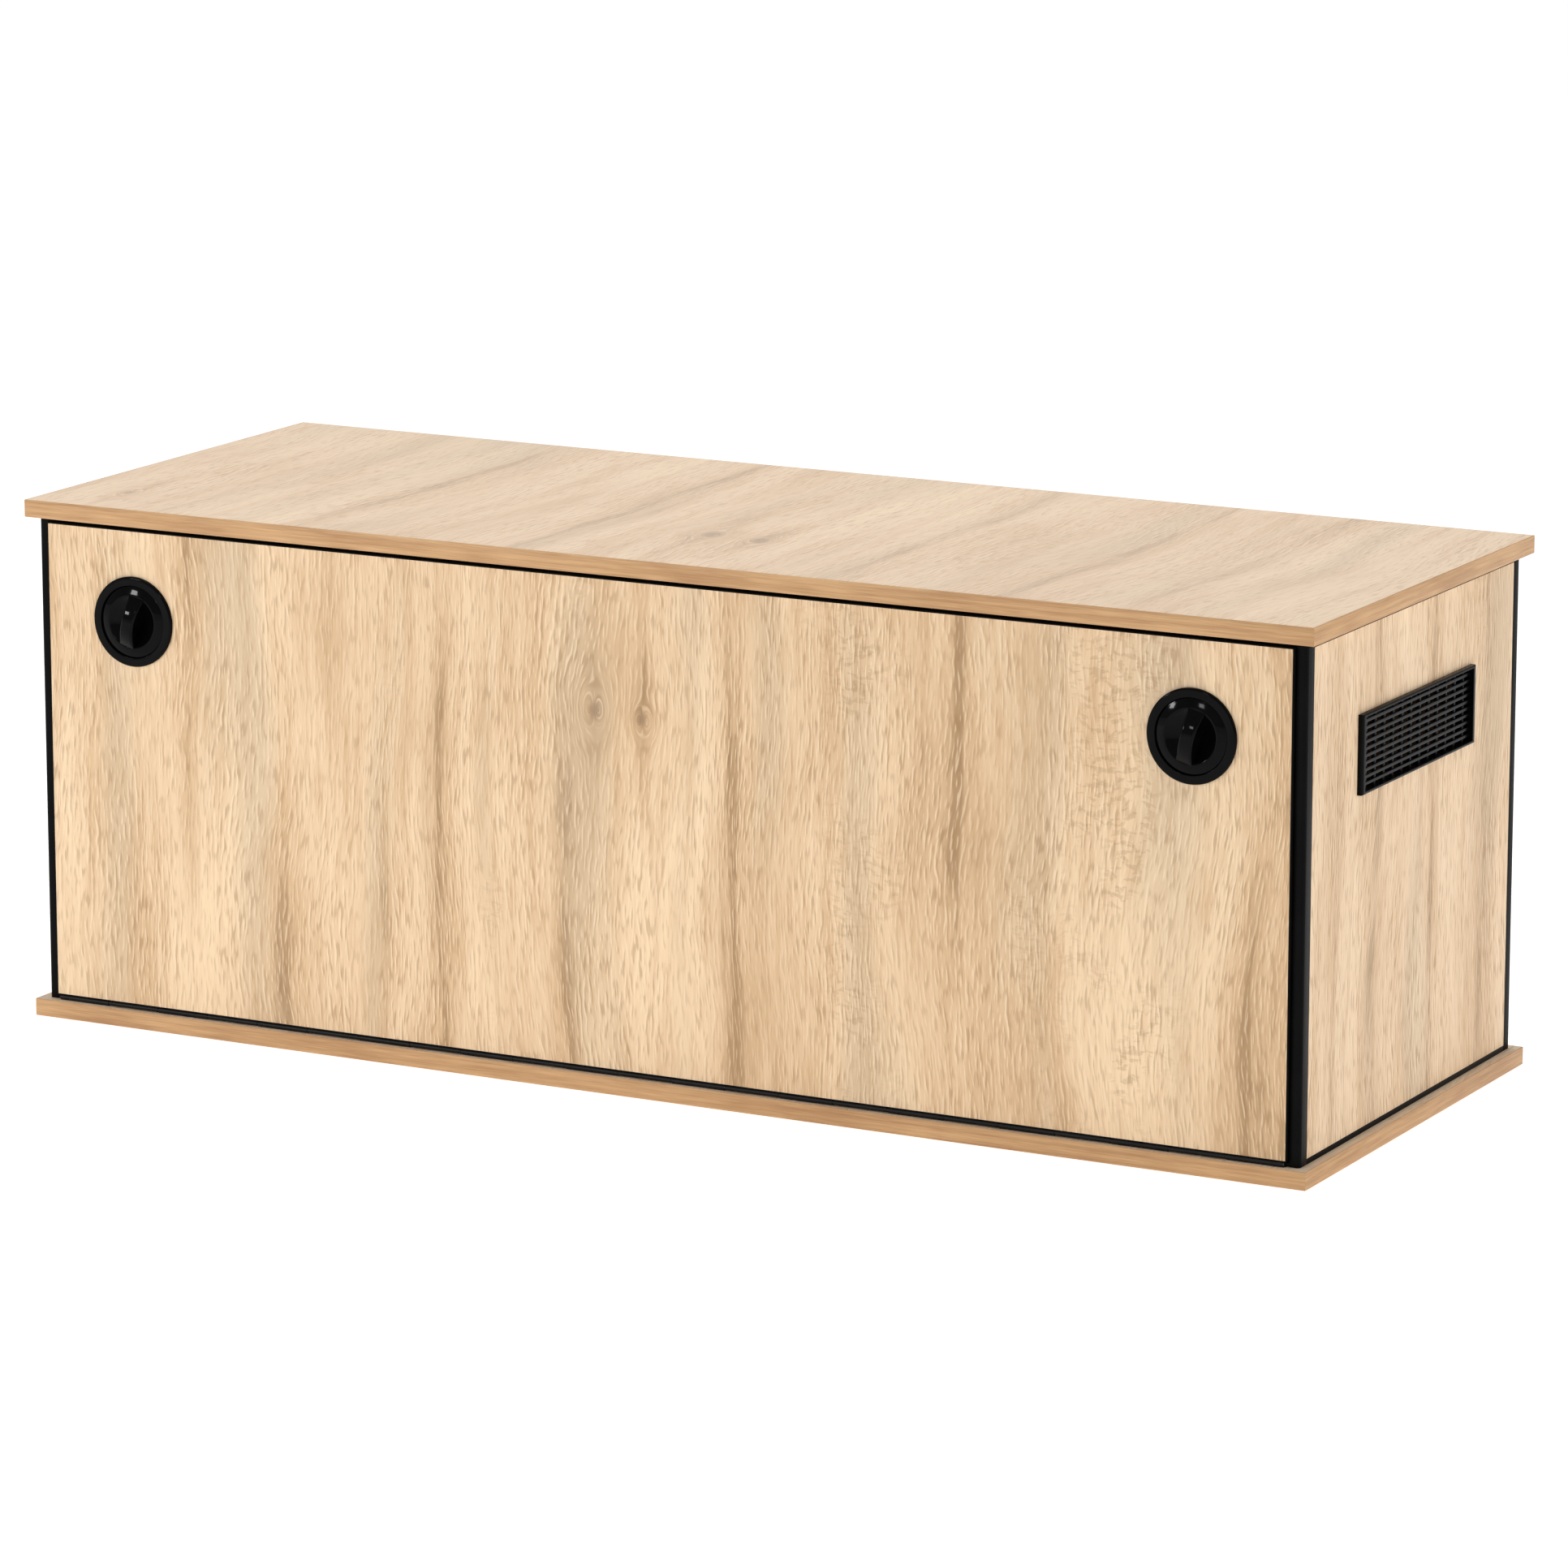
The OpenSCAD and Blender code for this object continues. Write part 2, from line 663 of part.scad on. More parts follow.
module grip() {
    foot = -bowl_depth - rim_ease;
    intersection() {
        rotate([90, 0, 0]) translate([0, 0, -bowl_r]) linear_extrude(2 * bowl_r) polygon([
            [-grip_foot_w / 2, foot], [grip_foot_w / 2, foot],
            [grip_w / 2, grip_rise + cut], [-grip_w / 2, grip_rise + cut]
        ]);
        translate([-grip_foot_w, 0, grip_rise - grip_rho]) rotate([0, 90, 0])
            cylinder(r = grip_rho, h = 2 * grip_foot_w, $fn = 128);
        cylinder(r = bowl_r + eps, h = 4 * grip_rise, center = true, $fn = 96);
    }
}

module latch_dish(right) {
    placed() color(plastic_black) latch_place(right_sign(right)) difference() {
        union() {
            dish_body();
            rotate([0, 0, -grip_lean]) grip();
            translate([-spindle_w / 2, -spindle_w / 2, cam_back])
                cube([spindle_w, spindle_w, cam_t + hub_gap + eps]);
        }
        translate([0, 0, cam_back - cut]) cylinder(r = cam_screw_r + spindle_play, h = cam_screw_l + cut);
    }
}

// The cam hangs down when the latch is free and lies behind the keeper after a quarter turn
module latch_cam(right) {
    tip_r = cam_w / 2;
    placed() color(steel) latch_place(right_sign(right)) translate([0, 0, cam_back]) difference() {
        union() {
            cylinder(r = cam_hub_r, h = cam_t);
            translate([-tip_r, -cam_len + tip_r, 0]) cube([cam_w, cam_len - tip_r, cam_t]);
            translate([0, -cam_len + tip_r, 0]) cylinder(r = tip_r, h = cam_t);
        }
        translate([-spindle_w / 2 - spindle_play, -spindle_w / 2 - spindle_play, -cut])
            cube([spindle_w + 2 * spindle_play, spindle_w + 2 * spindle_play, cam_t + 2 * cut]);
    }
}

module cam_screw(right) {
    placed() color(steel) latch_place(right_sign(right)) translate([0, 0, cam_back]) difference() {
        union() {
            translate([0, 0, -cam_head_t]) cylinder(r = cam_head_r, h = cam_head_t);
            cylinder(r = cam_screw_r, h = cam_screw_l - cam_screw_end);
        }
        translate([0, 0, -cam_head_t - cut]) cylinder(r = cam_socket_r, h = cam_socket_deep + cut, $fn = 6);
    }
}

// Keeper bracket on the side panel: the cam turns in behind its plate
module keeper(right) {
    placed() color(frame_black) on_side(right) difference() {
        union() {
            box(panel_x - keeper_reach, panel_x, keeper_y0, keeper_y1,
                latch_z - keeper_h / 2, latch_z + keeper_h / 2);
            box(panel_x - keeper_t, panel_x, keeper_y0, keeper_y0 + keeper_leg,
                latch_z - keeper_h / 2, latch_z + keeper_h / 2);
        }
        keeper_screw_places() translate([0, 0, -keeper_t - cut])
            cylinder(r = keeper_screw_r + lock_play, h = keeper_t + 2 * cut);
    }
}

// On the panel's inner face, +Z going into the board
module keeper_screw_places() {
    for (z = [-1, 1])
        translate([panel_x, keeper_screw_y, latch_z + z * keeper_screw_spread / 2])
            rotate([0, 90, 0]) children();
}

module keeper_screws() {
    placed() color(steel) for (s = [true, false]) on_side(s) keeper_screw_places()
        translate([0, 0, -keeper_t]) difference() {
            union() {
                translate([0, 0, -keeper_head_t]) cylinder(r = keeper_head_r, h = keeper_head_t);
                cylinder(r = keeper_screw_r, h = keeper_screw_l);
            }
            translate([0, 0, -keeper_head_t - cut])
                cylinder(r = keeper_socket_r, h = keeper_socket_deep + cut, $fn = 6);
        }
}

top_slab();
slab_edging(bay_z1);  // top_slab_edging
bottom_slab();
slab_edging(0);  // bottom_slab_edging
post_front(false);  // post_front_left
post_front(true);  // post_front_right
post_rear(false);  // post_rear_left
post_rear(true);  // post_rear_right
side_rail(false, false);  // rail_left_bottom
side_rail(false, true);  // rail_left_top
side_rail(true, false);  // rail_right_bottom
side_rail(true, true);  // rail_right_top
rear_rail(false);  // rail_rear_bottom
rear_rail(true);  // rail_rear_top
sill_bar();
head_bar();
side_panel(false);  // side_panel_left
side_panel(true);  // side_panel_right
back_panel();
cable_port_ring();
vent_grille(false);  // vent_grille_left
vent_grille(true);  // vent_grille_right
cam_lock_discs();
cam_lock_dowels();
flap_bumpers();
keeper(false);  // keeper_left
keeper(true);  // keeper_right
keeper_screws();
hinge_leaf_sill();
hinge_leaf_flap();
hinge_pin();
hinge_screws_sill();
hinge_screws_flap();
flap_panel();
flap_edging();
latch_housing(false);  // latch_housing_left
latch_housing(true);  // latch_housing_right
latch_nut(false);  // latch_nut_left
latch_nut(true);  // latch_nut_right
latch_dish(false);  // latch_dish_left
latch_dish(true);  // latch_dish_right
latch_cam(false);  // latch_cam_left
latch_cam(true);  // latch_cam_right
cam_screw(false);  // cam_screw_left
cam_screw(true);  // cam_screw_right
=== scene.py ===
"""Low oak-decor cabinet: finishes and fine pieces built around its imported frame."""
import json
import math

import bmesh
import bpy
from mathutils import Matrix, Vector


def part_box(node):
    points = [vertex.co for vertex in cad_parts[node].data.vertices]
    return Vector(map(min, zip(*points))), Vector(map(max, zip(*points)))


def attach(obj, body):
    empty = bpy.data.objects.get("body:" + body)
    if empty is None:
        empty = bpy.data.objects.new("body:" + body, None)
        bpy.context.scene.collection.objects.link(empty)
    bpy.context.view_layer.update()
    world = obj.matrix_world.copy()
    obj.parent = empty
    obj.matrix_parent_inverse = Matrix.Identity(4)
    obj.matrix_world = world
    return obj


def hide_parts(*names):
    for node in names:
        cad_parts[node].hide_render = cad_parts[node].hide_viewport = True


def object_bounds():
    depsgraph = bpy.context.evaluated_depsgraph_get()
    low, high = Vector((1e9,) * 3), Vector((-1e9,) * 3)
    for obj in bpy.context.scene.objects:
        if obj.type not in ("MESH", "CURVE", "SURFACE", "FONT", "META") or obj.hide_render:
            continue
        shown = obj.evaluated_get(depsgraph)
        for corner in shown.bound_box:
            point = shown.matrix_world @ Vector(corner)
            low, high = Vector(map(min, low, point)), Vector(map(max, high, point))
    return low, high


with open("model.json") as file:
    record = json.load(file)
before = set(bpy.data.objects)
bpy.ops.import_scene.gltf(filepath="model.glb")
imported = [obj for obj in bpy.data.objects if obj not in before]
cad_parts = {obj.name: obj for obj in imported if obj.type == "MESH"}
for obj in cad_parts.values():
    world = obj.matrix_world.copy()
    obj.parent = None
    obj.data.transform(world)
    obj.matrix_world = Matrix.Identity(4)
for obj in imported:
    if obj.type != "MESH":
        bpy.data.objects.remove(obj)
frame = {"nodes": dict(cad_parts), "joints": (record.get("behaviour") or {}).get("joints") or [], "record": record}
cad_low, cad_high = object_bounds()

MM = 0.001
FULL_TURN = 2 * math.pi
SIDES = {"left": -1, "right": 1}
RECORD = frame["record"]
BODY_OF = {node: body for body, nodes in RECORD["behaviour"]["bodies"].items() for node in nodes}
JOINTS = {joint["name"]: joint for joint in frame["joints"]}


# ---------------------------------------------------------------- node trees

class Tree:
    """Writes a node tree one node at a time."""

    def __init__(self, tree):
        self.tree = tree

    def node(self, kind, inputs=None, **settings):
        """A node with its settings made first, because they decide which inputs it has."""
        made = self.tree.nodes.new(kind)
        for name, value in settings.items():
            setattr(made, name, value)
        for key, value in (inputs or {}).items():
            self.feed(made.inputs[key], value)
        return made

    def feed(self, socket, value):
        """Links a socket to an input, or writes a constant on it."""
        if isinstance(value, bpy.types.NodeSocket):
            self.tree.links.new(value, socket)
        else:
            socket.default_value = value

    def math(self, operation, a, b=0.0, c=0.0):
        return self.node("ShaderNodeMath", {0: a, 1: b, 2: c}, operation=operation).outputs[0]

    def vector(self, operation, a, b):
        return self.node("ShaderNodeVectorMath", {0: a, 1: b}, operation=operation).outputs[0]

    def scaled(self, vector, factor):
        return self.node("ShaderNodeVectorMath", {0: vector, "Scale": factor}, operation="SCALE").outputs[0]

    def combine(self, x, y, z):
        return self.node("ShaderNodeCombineXYZ", {0: x, 1: y, 2: z}).outputs[0]

    def separate(self, vector):
        return self.node("ShaderNodeSeparateXYZ", {0: vector}).outputs


class Finish(Tree):
    """A material: one principled surface and the nodes that feed it."""

    def __init__(self, name):
        self.material = bpy.data.materials.new(name)
        self.material.use_nodes = True
        super().__init__(self.material.node_tree)
        self.tree.nodes.clear()
        self.surface = self.node("ShaderNodeBsdfPrincipled")
        output = self.node("ShaderNodeOutputMaterial")
        self.feed(output.inputs["Surface"], self.surface.outputs[0])
        place = self.node("ShaderNodeTexCoord")
        self.place = place.outputs["Object"]
        self.facing = place.outputs["Normal"]

    def set(self, **values):
        """Sets the surface's inputs by name, with _ for each space."""
        for name, value in values.items():
            self.feed(self.surface.inputs[name.replace("_", " ")], value)

    def noise(self, vector, scale, detail=2.0, roughness=0.5):
        made = self.node("ShaderNodeTexNoise", {
            "Vector": vector, "Scale": scale, "Detail": detail, "Roughness": roughness})
        return made.outputs[0]

    def stretched(self, vector, x, y, z, detail=2.0, roughness=0.5):
        """Noise with its own count of features per metre along each axis."""
        return self.noise(self.vector("MULTIPLY", vector, (x, y, z)), 1.0, detail, roughness)

    def grain(self, vector, across, along, detail=2.0, roughness=0.5):
        """Noise on a board: X crosses the grain, Z follows it, and Y isn't used."""
        return self.stretched(vector, across, 1.0, along, detail, roughness)

    def window(self, value, low, high, to_low=0.0, to_high=1.0):
        """A smooth change from to_low to to_high while the value goes from low to high."""
        made = self.node("ShaderNodeMapRange", {
            "Value": value, "From Min": low, "From Max": high, "To Min": to_low, "To Max": to_high},
            interpolation_type="SMOOTHSTEP")
        return made.outputs[0]

    def blend(self, factor, a, b):
        return self.node("ShaderNodeMix", {0: factor, 6: a, 7: b}, data_type="RGBA").outputs[2]

    def relief(self, height, distance, strength=1.0):
        made = self.node("ShaderNodeBump", {"Height": height, "Distance": distance, "Strength": strength})
        self.set(Normal=made.outputs[0])


def paint(red, green, blue):
    """A colour from its screen values, 0 to 255."""
    def linear(value):
        share = value / 255
        return share / 12.92 if share <= 0.04045 else ((share + 0.055) / 1.055) ** 2.4
    return (linear(red), linear(green), linear(blue), 1.0)


# ------------------------------------------------------------------- finishes

# The decor's printed colours; the pale lip colour is a painted highlight, the pore colour holds painted shade
# besides the pores' own dark, and the pale pink is a painted sheen
OAK_PALE = paint(240, 212, 174)
OAK_LIGHT = paint(230, 200, 163)
OAK_MIDDLE = paint(214, 180, 140)
OAK_DARK = paint(176, 142, 104)
OAK_GREY = paint(190, 170, 142)
# Painted highlight: the pale colour of the lip beside each pore
OAK_LIP_HIGHLIGHT = paint(250, 226, 192)
# The pores' own dark colour, which also holds painted shade
OAK_PORE_AND_SHADE = paint(150, 112, 76)
OAK_KNOT = paint(128, 102, 76)
# Painted sheen: a pale pink mixed evenly into the oak
OAK_PAINTED_SHEEN = paint(244, 228, 212)
KNOT_REACH = 0.55       # how near a knot its pull levels off, in its radii
KNOT_SQUEEZE = 0.62     # a knot is longer along the grain by the inverse of this


def part_round_knots(oak, x, z, waver, flow, knots):
    """Pushes the fibres aside at each knot. Returns the new flow, the dark tails that run along the
    grain from the knots, and the knots' own cores."""
    tails, cores = 0.0, 0.0
    for place, height, radius in knots:
        off = oak.math("SUBTRACT", x, place)
        rise = oak.math("MULTIPLY", oak.math("SUBTRACT", z, height), KNOT_SQUEEZE)
        reach = oak.math("MULTIPLY_ADD", rise, rise, (KNOT_REACH * radius) ** 2)
        reach = oak.math("MULTIPLY_ADD", off, off, reach)
        push = oak.math("DIVIDE", oak.math("MULTIPLY", off, 1.5 * radius ** 2), reach)
        flow = oak.math("SUBTRACT", flow, push)
        near = oak.math("MULTIPLY", oak.math("SQRT", reach), 1.0 / radius)
        near = oak.math("MULTIPLY_ADD", waver, 1.5, oak.math("ADD", near, -0.75))
        cores = oak.math("ADD", cores, oak.window(near, 0.55, 1.05, 1.0, 0.0))
        tail = oak.math("MULTIPLY", oak.math("ABSOLUTE", off), 1.0 / radius)
        tail = oak.math("MULTIPLY_ADD", oak.math("ABSOLUTE", rise), 0.30 / radius, tail)
        tail = oak.math("MULTIPLY_ADD", waver, 2.4, oak.math("ADD", tail, -1.2))
        tails = oak.math("ADD", tails, oak.window(tail, 0.4, 2.6, 0.62, 0.0))
    return flow, tails, cores


def growth_tone(oak, bent):
    """Broad tones, streaks and growth lines, none of which runs a board's whole length unchanged."""
    broad = oak.grain(bent, 8.5, 1.6, 2.0, 0.55)
    streaky = oak.grain(bent, 40.0, 4.0, 3.0, 0.62)
    thin = oak.grain(bent, 170.0, 14.0, 2.0, 0.6)
    tone = oak.math("MULTIPLY", oak.window(broad, 0.32, 0.70), 0.42)
    tone = oak.math("MULTIPLY_ADD", oak.window(streaky, 0.40, 0.74), 0.40, tone)
    return oak.math("MULTIPLY_ADD", oak.window(thin, 0.42, 0.70), 0.24, tone)


def add_streaks(oak, tone, x, z, flow, bent, streaks):
    """Dark lines with a soft halo. They are ragged, and lean half as much as the fibres."""
    ragged = oak.window(oak.grain(bent, 90.0, 9.0, 2.0, 0.6), 0.34, 0.64, 0.1, 1.25)
    veer = oak.math("MULTIPLY_ADD", oak.math("SUBTRACT", flow, x), 0.5, oak.math("ADD", x, -0.023))
    for place, width, strength, end, fade in streaks:
        off = oak.math("ABSOLUTE", oak.math("SUBTRACT", veer, place))
        line = oak.window(off, 0.0, width * 1.4, strength * 0.8, 0.0)
        halo = oak.window(off, 0.0, width * 4.0, strength * 0.38, 0.0)
        gone = oak.window(z, end, end + fade)
        tone = oak.math("MULTIPLY_ADD", oak.math("MULTIPLY_ADD", line, ragged, halo), gone, tone)
    return tone


def pore_shade_and_lip_highlight(oak, bent):
    """Each pore is a short dark groove with a pale lip beside it. The lip's paleness is a painted highlight, and
    the groove's dark is the pore's own colour with painted shade, as on embossed grain lit from one side.
    """
    pores = oak.grain(bent, 400.0, 55.0, 1.0)
    beside = oak.grain(oak.vector("ADD", bent, (0.0011, 0.0, 0.0)), 400.0, 55.0, 1.0)
    coarse = oak.window(oak.grain(bent, 26.0, 4.0, 2.0), 0.32, 0.64, 0.45, 1.0)
    # The pore mask carries the pores' own dark and painted shade; the lip mask is a painted highlight
    pore_and_shade = oak.math("MULTIPLY", oak.window(pores, 0.50, 0.68), coarse)
    lip_highlight = oak.window(oak.math("SUBTRACT", beside, pores), 0.02, 0.20)
    return pore_and_shade, oak.math("MULTIPLY", lip_highlight, coarse)


def ray_flecks(oak, x, moved, waver, flecked):
    """Flecks across the grain, in the flecked zones and here and there besides."""
    zone = oak.window(oak.grain(moved, 10.0, 3.0, 1.0), 0.60, 0.72, 0.0, 0.7)
    for place, half_width in flecked:
        off = oak.math("ABSOLUTE", oak.math("MULTIPLY_ADD", waver, 0.03, oak.math("ADD", x, -place - 0.015)))
        zone = oak.math("MAXIMUM", zone, oak.window(off, half_width * 0.3, half_width, 1.0, 0.0))
    patches = oak.window(oak.grain(moved, 16.0, 9.0, 1.0), 0.40, 0.58)
    shaken = oak.vector("ADD", moved, oak.combine(0.0, 0.0, oak.math("MULTIPLY", waver, 0.03)))
    flecks = oak.window(oak.grain(shaken, 85.0, 190.0, 2.0, 0.6), 0.50, 0.60)
    return oak.math("MULTIPLY", oak.math("MULTIPLY", flecks, zone), patches)


def oak_decor(name, across, along, shift, streaks=(), knots=(), flecked=(), painted_sheen=0.0, sheen=0.3):
    """Oak decor on a board. across and along are the axes that the grain crosses and follows, and
    shift picks another stretch of the pattern.

    streaks are (place, width, strength, end, fade): dark lines that thin out towards one end,
    knots are (place across, place along, radius), and flecked holds (place, half width) of the
    zones with cross-grain flecks. All are in metres in the part's frame."""
    oak = Finish(name)
    axes = oak.separate(oak.place)
    x, z = axes["XYZ".index(across)], axes["XYZ".index(along)]
    moved = oak.vector("ADD", oak.combine(x, 0.0, z), (shift, 0.0, shift * 1.7))

    # The fibres lean in zones, waver a little, and part round the knots
    lean = oak.grain(moved, 3.6, 2.3, 1.0)
    waver = oak.grain(moved, 22.0, 13.0, 2.0)
    flow = oak.math("MULTIPLY_ADD", lean, 0.085, oak.math("MULTIPLY_ADD", waver, 0.007, x))
    flow, tails, cores = part_round_knots(oak, x, z, waver, flow, knots)
    bent = oak.vector("ADD", oak.combine(flow, 0.0, z), (shift, 0.0, shift))

    tone = oak.math("ADD", growth_tone(oak, bent), tails)
    tone = add_streaks(oak, tone, x, z, flow, bent, streaks)
    # Pore masks with painted shade, and lip masks that are painted highlights; both also shape the relief
    pore_and_shade, ridge_and_highlight = pore_shade_and_lip_highlight(oak, bent)
    fleck = ray_flecks(oak, x, moved, waver, flecked)
    hair = oak.window(oak.grain(bent, 620.0, 16.0, 2.0, 0.7), 0.46, 0.74)
    grey = oak.window(oak.grain(bent, 15.0, 1.4, 1.0), 0.50, 0.72, 0.0, 0.45)

    colour = oak.blend(oak.window(tone, 0.0, 0.30), OAK_PALE, OAK_LIGHT)
    colour = oak.blend(oak.window(tone, 0.22, 0.66), colour, OAK_MIDDLE)
    colour = oak.blend(oak.window(tone, 0.58, 1.35), colour, OAK_DARK)
    colour = oak.blend(grey, colour, OAK_GREY)
    colour = oak.blend(oak.math("MULTIPLY", hair, 0.16), colour, OAK_DARK)
    colour = oak.blend(oak.math("MULTIPLY", fleck, 0.38), colour, OAK_DARK)
    # Painted highlight on the pores' lips, then the pores' dark colour, which is partly painted shade
    colour = oak.blend(oak.math("MULTIPLY", ridge_and_highlight, 0.55), colour, OAK_LIP_HIGHLIGHT)
    colour = oak.blend(oak.math("MULTIPLY", pore_and_shade, 0.42), colour, OAK_PORE_AND_SHADE)
    if knots:
        colour = oak.blend(oak.math("MULTIPLY", oak.math("MINIMUM", cores, 1.0), 0.6), colour, OAK_KNOT)
    # Painted sheen: a pale pink mixed in evenly, strong on the slabs, whose tops the camera sees at a grazing
    # angle, and slight on the sides
    if painted_sheen:
        colour = oak.blend(painted_sheen, colour, OAK_PAINTED_SHEEN)
    oak.set(Base_Color=colour, Specular_IOR_Level=sheen)
    oak.set(Roughness=oak.math("MULTIPLY_ADD", pore_and_shade, 0.2, oak.math("MULTIPLY_ADD", tone, 0.06, 0.42)))
    oak.relief(oak.math("MULTIPLY_ADD", pore_and_shade, -1.0, oak.math("MULTIPLY", ridge_and_highlight, 0.6)), 0.00015, 0.7)
    return oak.material


def oak_strip(name):
    """Darker oak edging: its grain runs along each strip of the ring."""
    strip = Finish(name)
    x, y, z = strip.separate(strip.place)
    facing = strip.separate(strip.facing)
    on_end = strip.math("GREATER_THAN", strip.math("ABSOLUTE", facing[0]), 0.7)
    from_x = strip.math("MULTIPLY", strip.math("SUBTRACT", 1.0, on_end), x)
    along = strip.math("ADD", strip.math("MULTIPLY", on_end, y), from_x)
    run = strip.combine(along, 0.0, z)
    streaks = strip.stretched(run, 5.0, 1.0, 260.0, 3.0, 0.6)
    fine = strip.stretched(run, 30.0, 1.0, 1400.0, 2.0, 0.6)
    wide = strip.stretched(run, 9.0, 1.0, 20.0, 2.0)
    tone = strip.math("MULTIPLY_ADD", fine, 0.45, strip.math("MULTIPLY", streaks, 0.55))
    tone = strip.math("MULTIPLY_ADD", wide, 0.35, tone)
    colour = strip.blend(strip.window(tone, 0.45, 0.9), paint(212, 170, 122), paint(170, 126, 84))
    strip.set(Base_Color=colour, Specular_IOR_Level=0.35)
    strip.set(Roughness=strip.math("MULTIPLY_ADD", fine, 0.12, 0.42))
    strip.relief(tone, 0.0001, 0.5)
    return strip.material


def coated_black(name, shade, roughness, grain, depth, gloss):
    """Black coating or moulding: a faint mottle in the colour and sheen, and a fine surface grain
    with its own count of grains per metre and its own depth."""
    coat = Finish(name)
    mottle = coat.noise(coat.place, 26.0, 3.0, 0.6)
    speck = coat.noise(coat.place, grain, 2.0, 0.6)
    lighter = tuple(min(1.0, value * 1.6) for value in shade[:3]) + (1.0,)
    coat.set(Base_Color=coat.blend(coat.window(mottle, 0.35, 0.7), shade, lighter))
    wear = coat.math("MULTIPLY_ADD", speck, 0.10, coat.math("MULTIPLY", mottle, 0.12))
    coat.set(Roughness=coat.math("ADD", wear, roughness - 0.1), Specular_IOR_Level=gloss)
    coat.relief(speck, depth, 0.5)
    return coat.material


def polished_black(name):
    """Polished moulding: a long faint unevenness in the gloss, and hairline rubbing."""
    gloss = Finish(name)
    haze = gloss.noise(gloss.place, 60.0, 3.0, 0.6)
    hairs = gloss.stretched(gloss.place, 300.0, 300.0, 2600.0, 2.0)
    colour = gloss.blend(gloss.window(haze, 0.3, 0.7), paint(3, 3, 4), paint(6, 6, 7))
    gloss.set(Base_Color=colour, Specular_IOR_Level=0.07)
    rubbed = gloss.math("MULTIPLY_ADD", hairs, 0.03, 0.035)
    gloss.set(Roughness=gloss.math("MULTIPLY_ADD", haze, 0.04, rubbed))
    gloss.relief(haze, 0.00006, 0.25)
    return gloss.material


def plated_steel(name):
    """Zinc-plated steel: cloudy plating with fine drawn lines."""
    zinc = Finish(name)
    cloud = zinc.noise(zinc.place, 160.0, 4.0, 0.6)
    lines = zinc.stretched(zinc.place, 240.0, 2400.0, 2400.0, 2.0)
    colour = zinc.blend(zinc.window(cloud, 0.3, 0.7), paint(206, 206, 204), paint(168, 170, 172))
    zinc.set(Base_Color=colour, Metallic=1.0)
    zinc.set(Roughness=zinc.math("MULTIPLY_ADD", cloud, 0.2, zinc.math("MULTIPLY_ADD", lines, 0.12, 0.18)))
    zinc.relief(lines, 0.00004, 0.4)
    return zinc.material


def soft_rubber(name):
    """Matt soft stop with a fine moulded tooth."""
    rubber = Finish(name)
    tooth = rubber.noise(rubber.place, 900.0, 3.0, 0.6)
    dust = rubber.noise(rubber.place, 90.0, 3.0, 0.6)
    rubber.set(Base_Color=rubber.blend(rubber.window(dust, 0.4, 0.8), paint(26, 26, 26), paint(48, 47, 46)))
    rubber.set(Roughness=rubber.math("MULTIPLY_ADD", dust, 0.15, 0.7), Specular_IOR_Level=0.3)
    rubber.relief(tooth, 0.0001, 0.5)
    return rubber.material


flap_low, flap_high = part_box("flap_panel")
flap_foot, flap_top = flap_low.z, flap_high.z


def share_of_flap(share):
    """The place at a share of the flap's width, counted from its left end."""
    return flap_low.x + share * (flap_high.x - flap_low.x)


# Each streak: place across the grain, width, strength, the place along it where it ends, and its fade
front_streaks = [
    (share_of_flap(0.335), 0.007, 0.85, flap_top + 0.1, -0.28),
    (share_of_flap(0.572), 0.008, 1.0, flap_foot - 0.2, 0.25),
    (share_of_flap(0.752), 0.006, 0.95, flap_foot + 0.05, 0.22),
    (share_of_flap(0.118), 0.010, 0.6, flap_foot, 0.4),
    (share_of_flap(0.200), 0.012, 0.7, flap_top - 0.1, -0.25),
    (share_of_flap(0.283), 0.005, 0.6, flap_top - 0.1, -0.2),
    (share_of_flap(0.440), 0.009, 0.7, flap_top, -0.2),
    (share_of_flap(0.968), 0.007, 0.6, flap_top - 0.05, -0.25),
    (share_of_flap(0.992), 0.022, 0.5, flap_foot - 0.3, 0.1)]
side_streaks = [
    (-0.07, 0.012, 0.8, flap_foot - 0.2, 0.2),
    (0.045, 0.005, 0.9, flap_top + 0.2, -0.3),
    (0.15, 0.010, 0.6, flap_foot - 0.2, 0.2),
    (-0.15, 0.006, 0.5, flap_top + 0.2, -0.3)]
back_streaks = [(-0.31, 0.008, 0.8, flap_foot - 0.2, 0.2), (0.22, 0.009, 0.8, flap_top + 0.1, -0.3)]
slab_streaks = [
    (-0.12, 0.008, 0.7, -0.4, 0.3),
    (0.17, 0.009, 0.6, -0.4, 0.3),
    (-0.33, 0.007, 0.6, 0.4, -0.3),
    (0.33, 0.007, 0.6, 0.4, -0.3),
    (0.44, 0.008, 0.5, -0.4, 0.3)]

# Each knot: place across the grain, place along it, radius. Each flecked zone: place, half width
front_knots, front_flecked = [(-0.046, 0.324, 0.010), (0.0, 0.319, 0.008)], [(0.205, 0.05), (0.43, 0.07)]
back_knots, back_flecked = [(0.33, 0.21, 0.010)], [(-0.1, 0.06)]
slab_knots = [(-0.005, -0.09, 0.011), (0.045, -0.095, 0.009), (-0.54, -0.15, 0.009)]
slab_flecked = [(0.25, 0.05)]

front_oak = oak_decor("oak_front", "X", "Z", 1.3, front_streaks, front_knots, front_flecked)
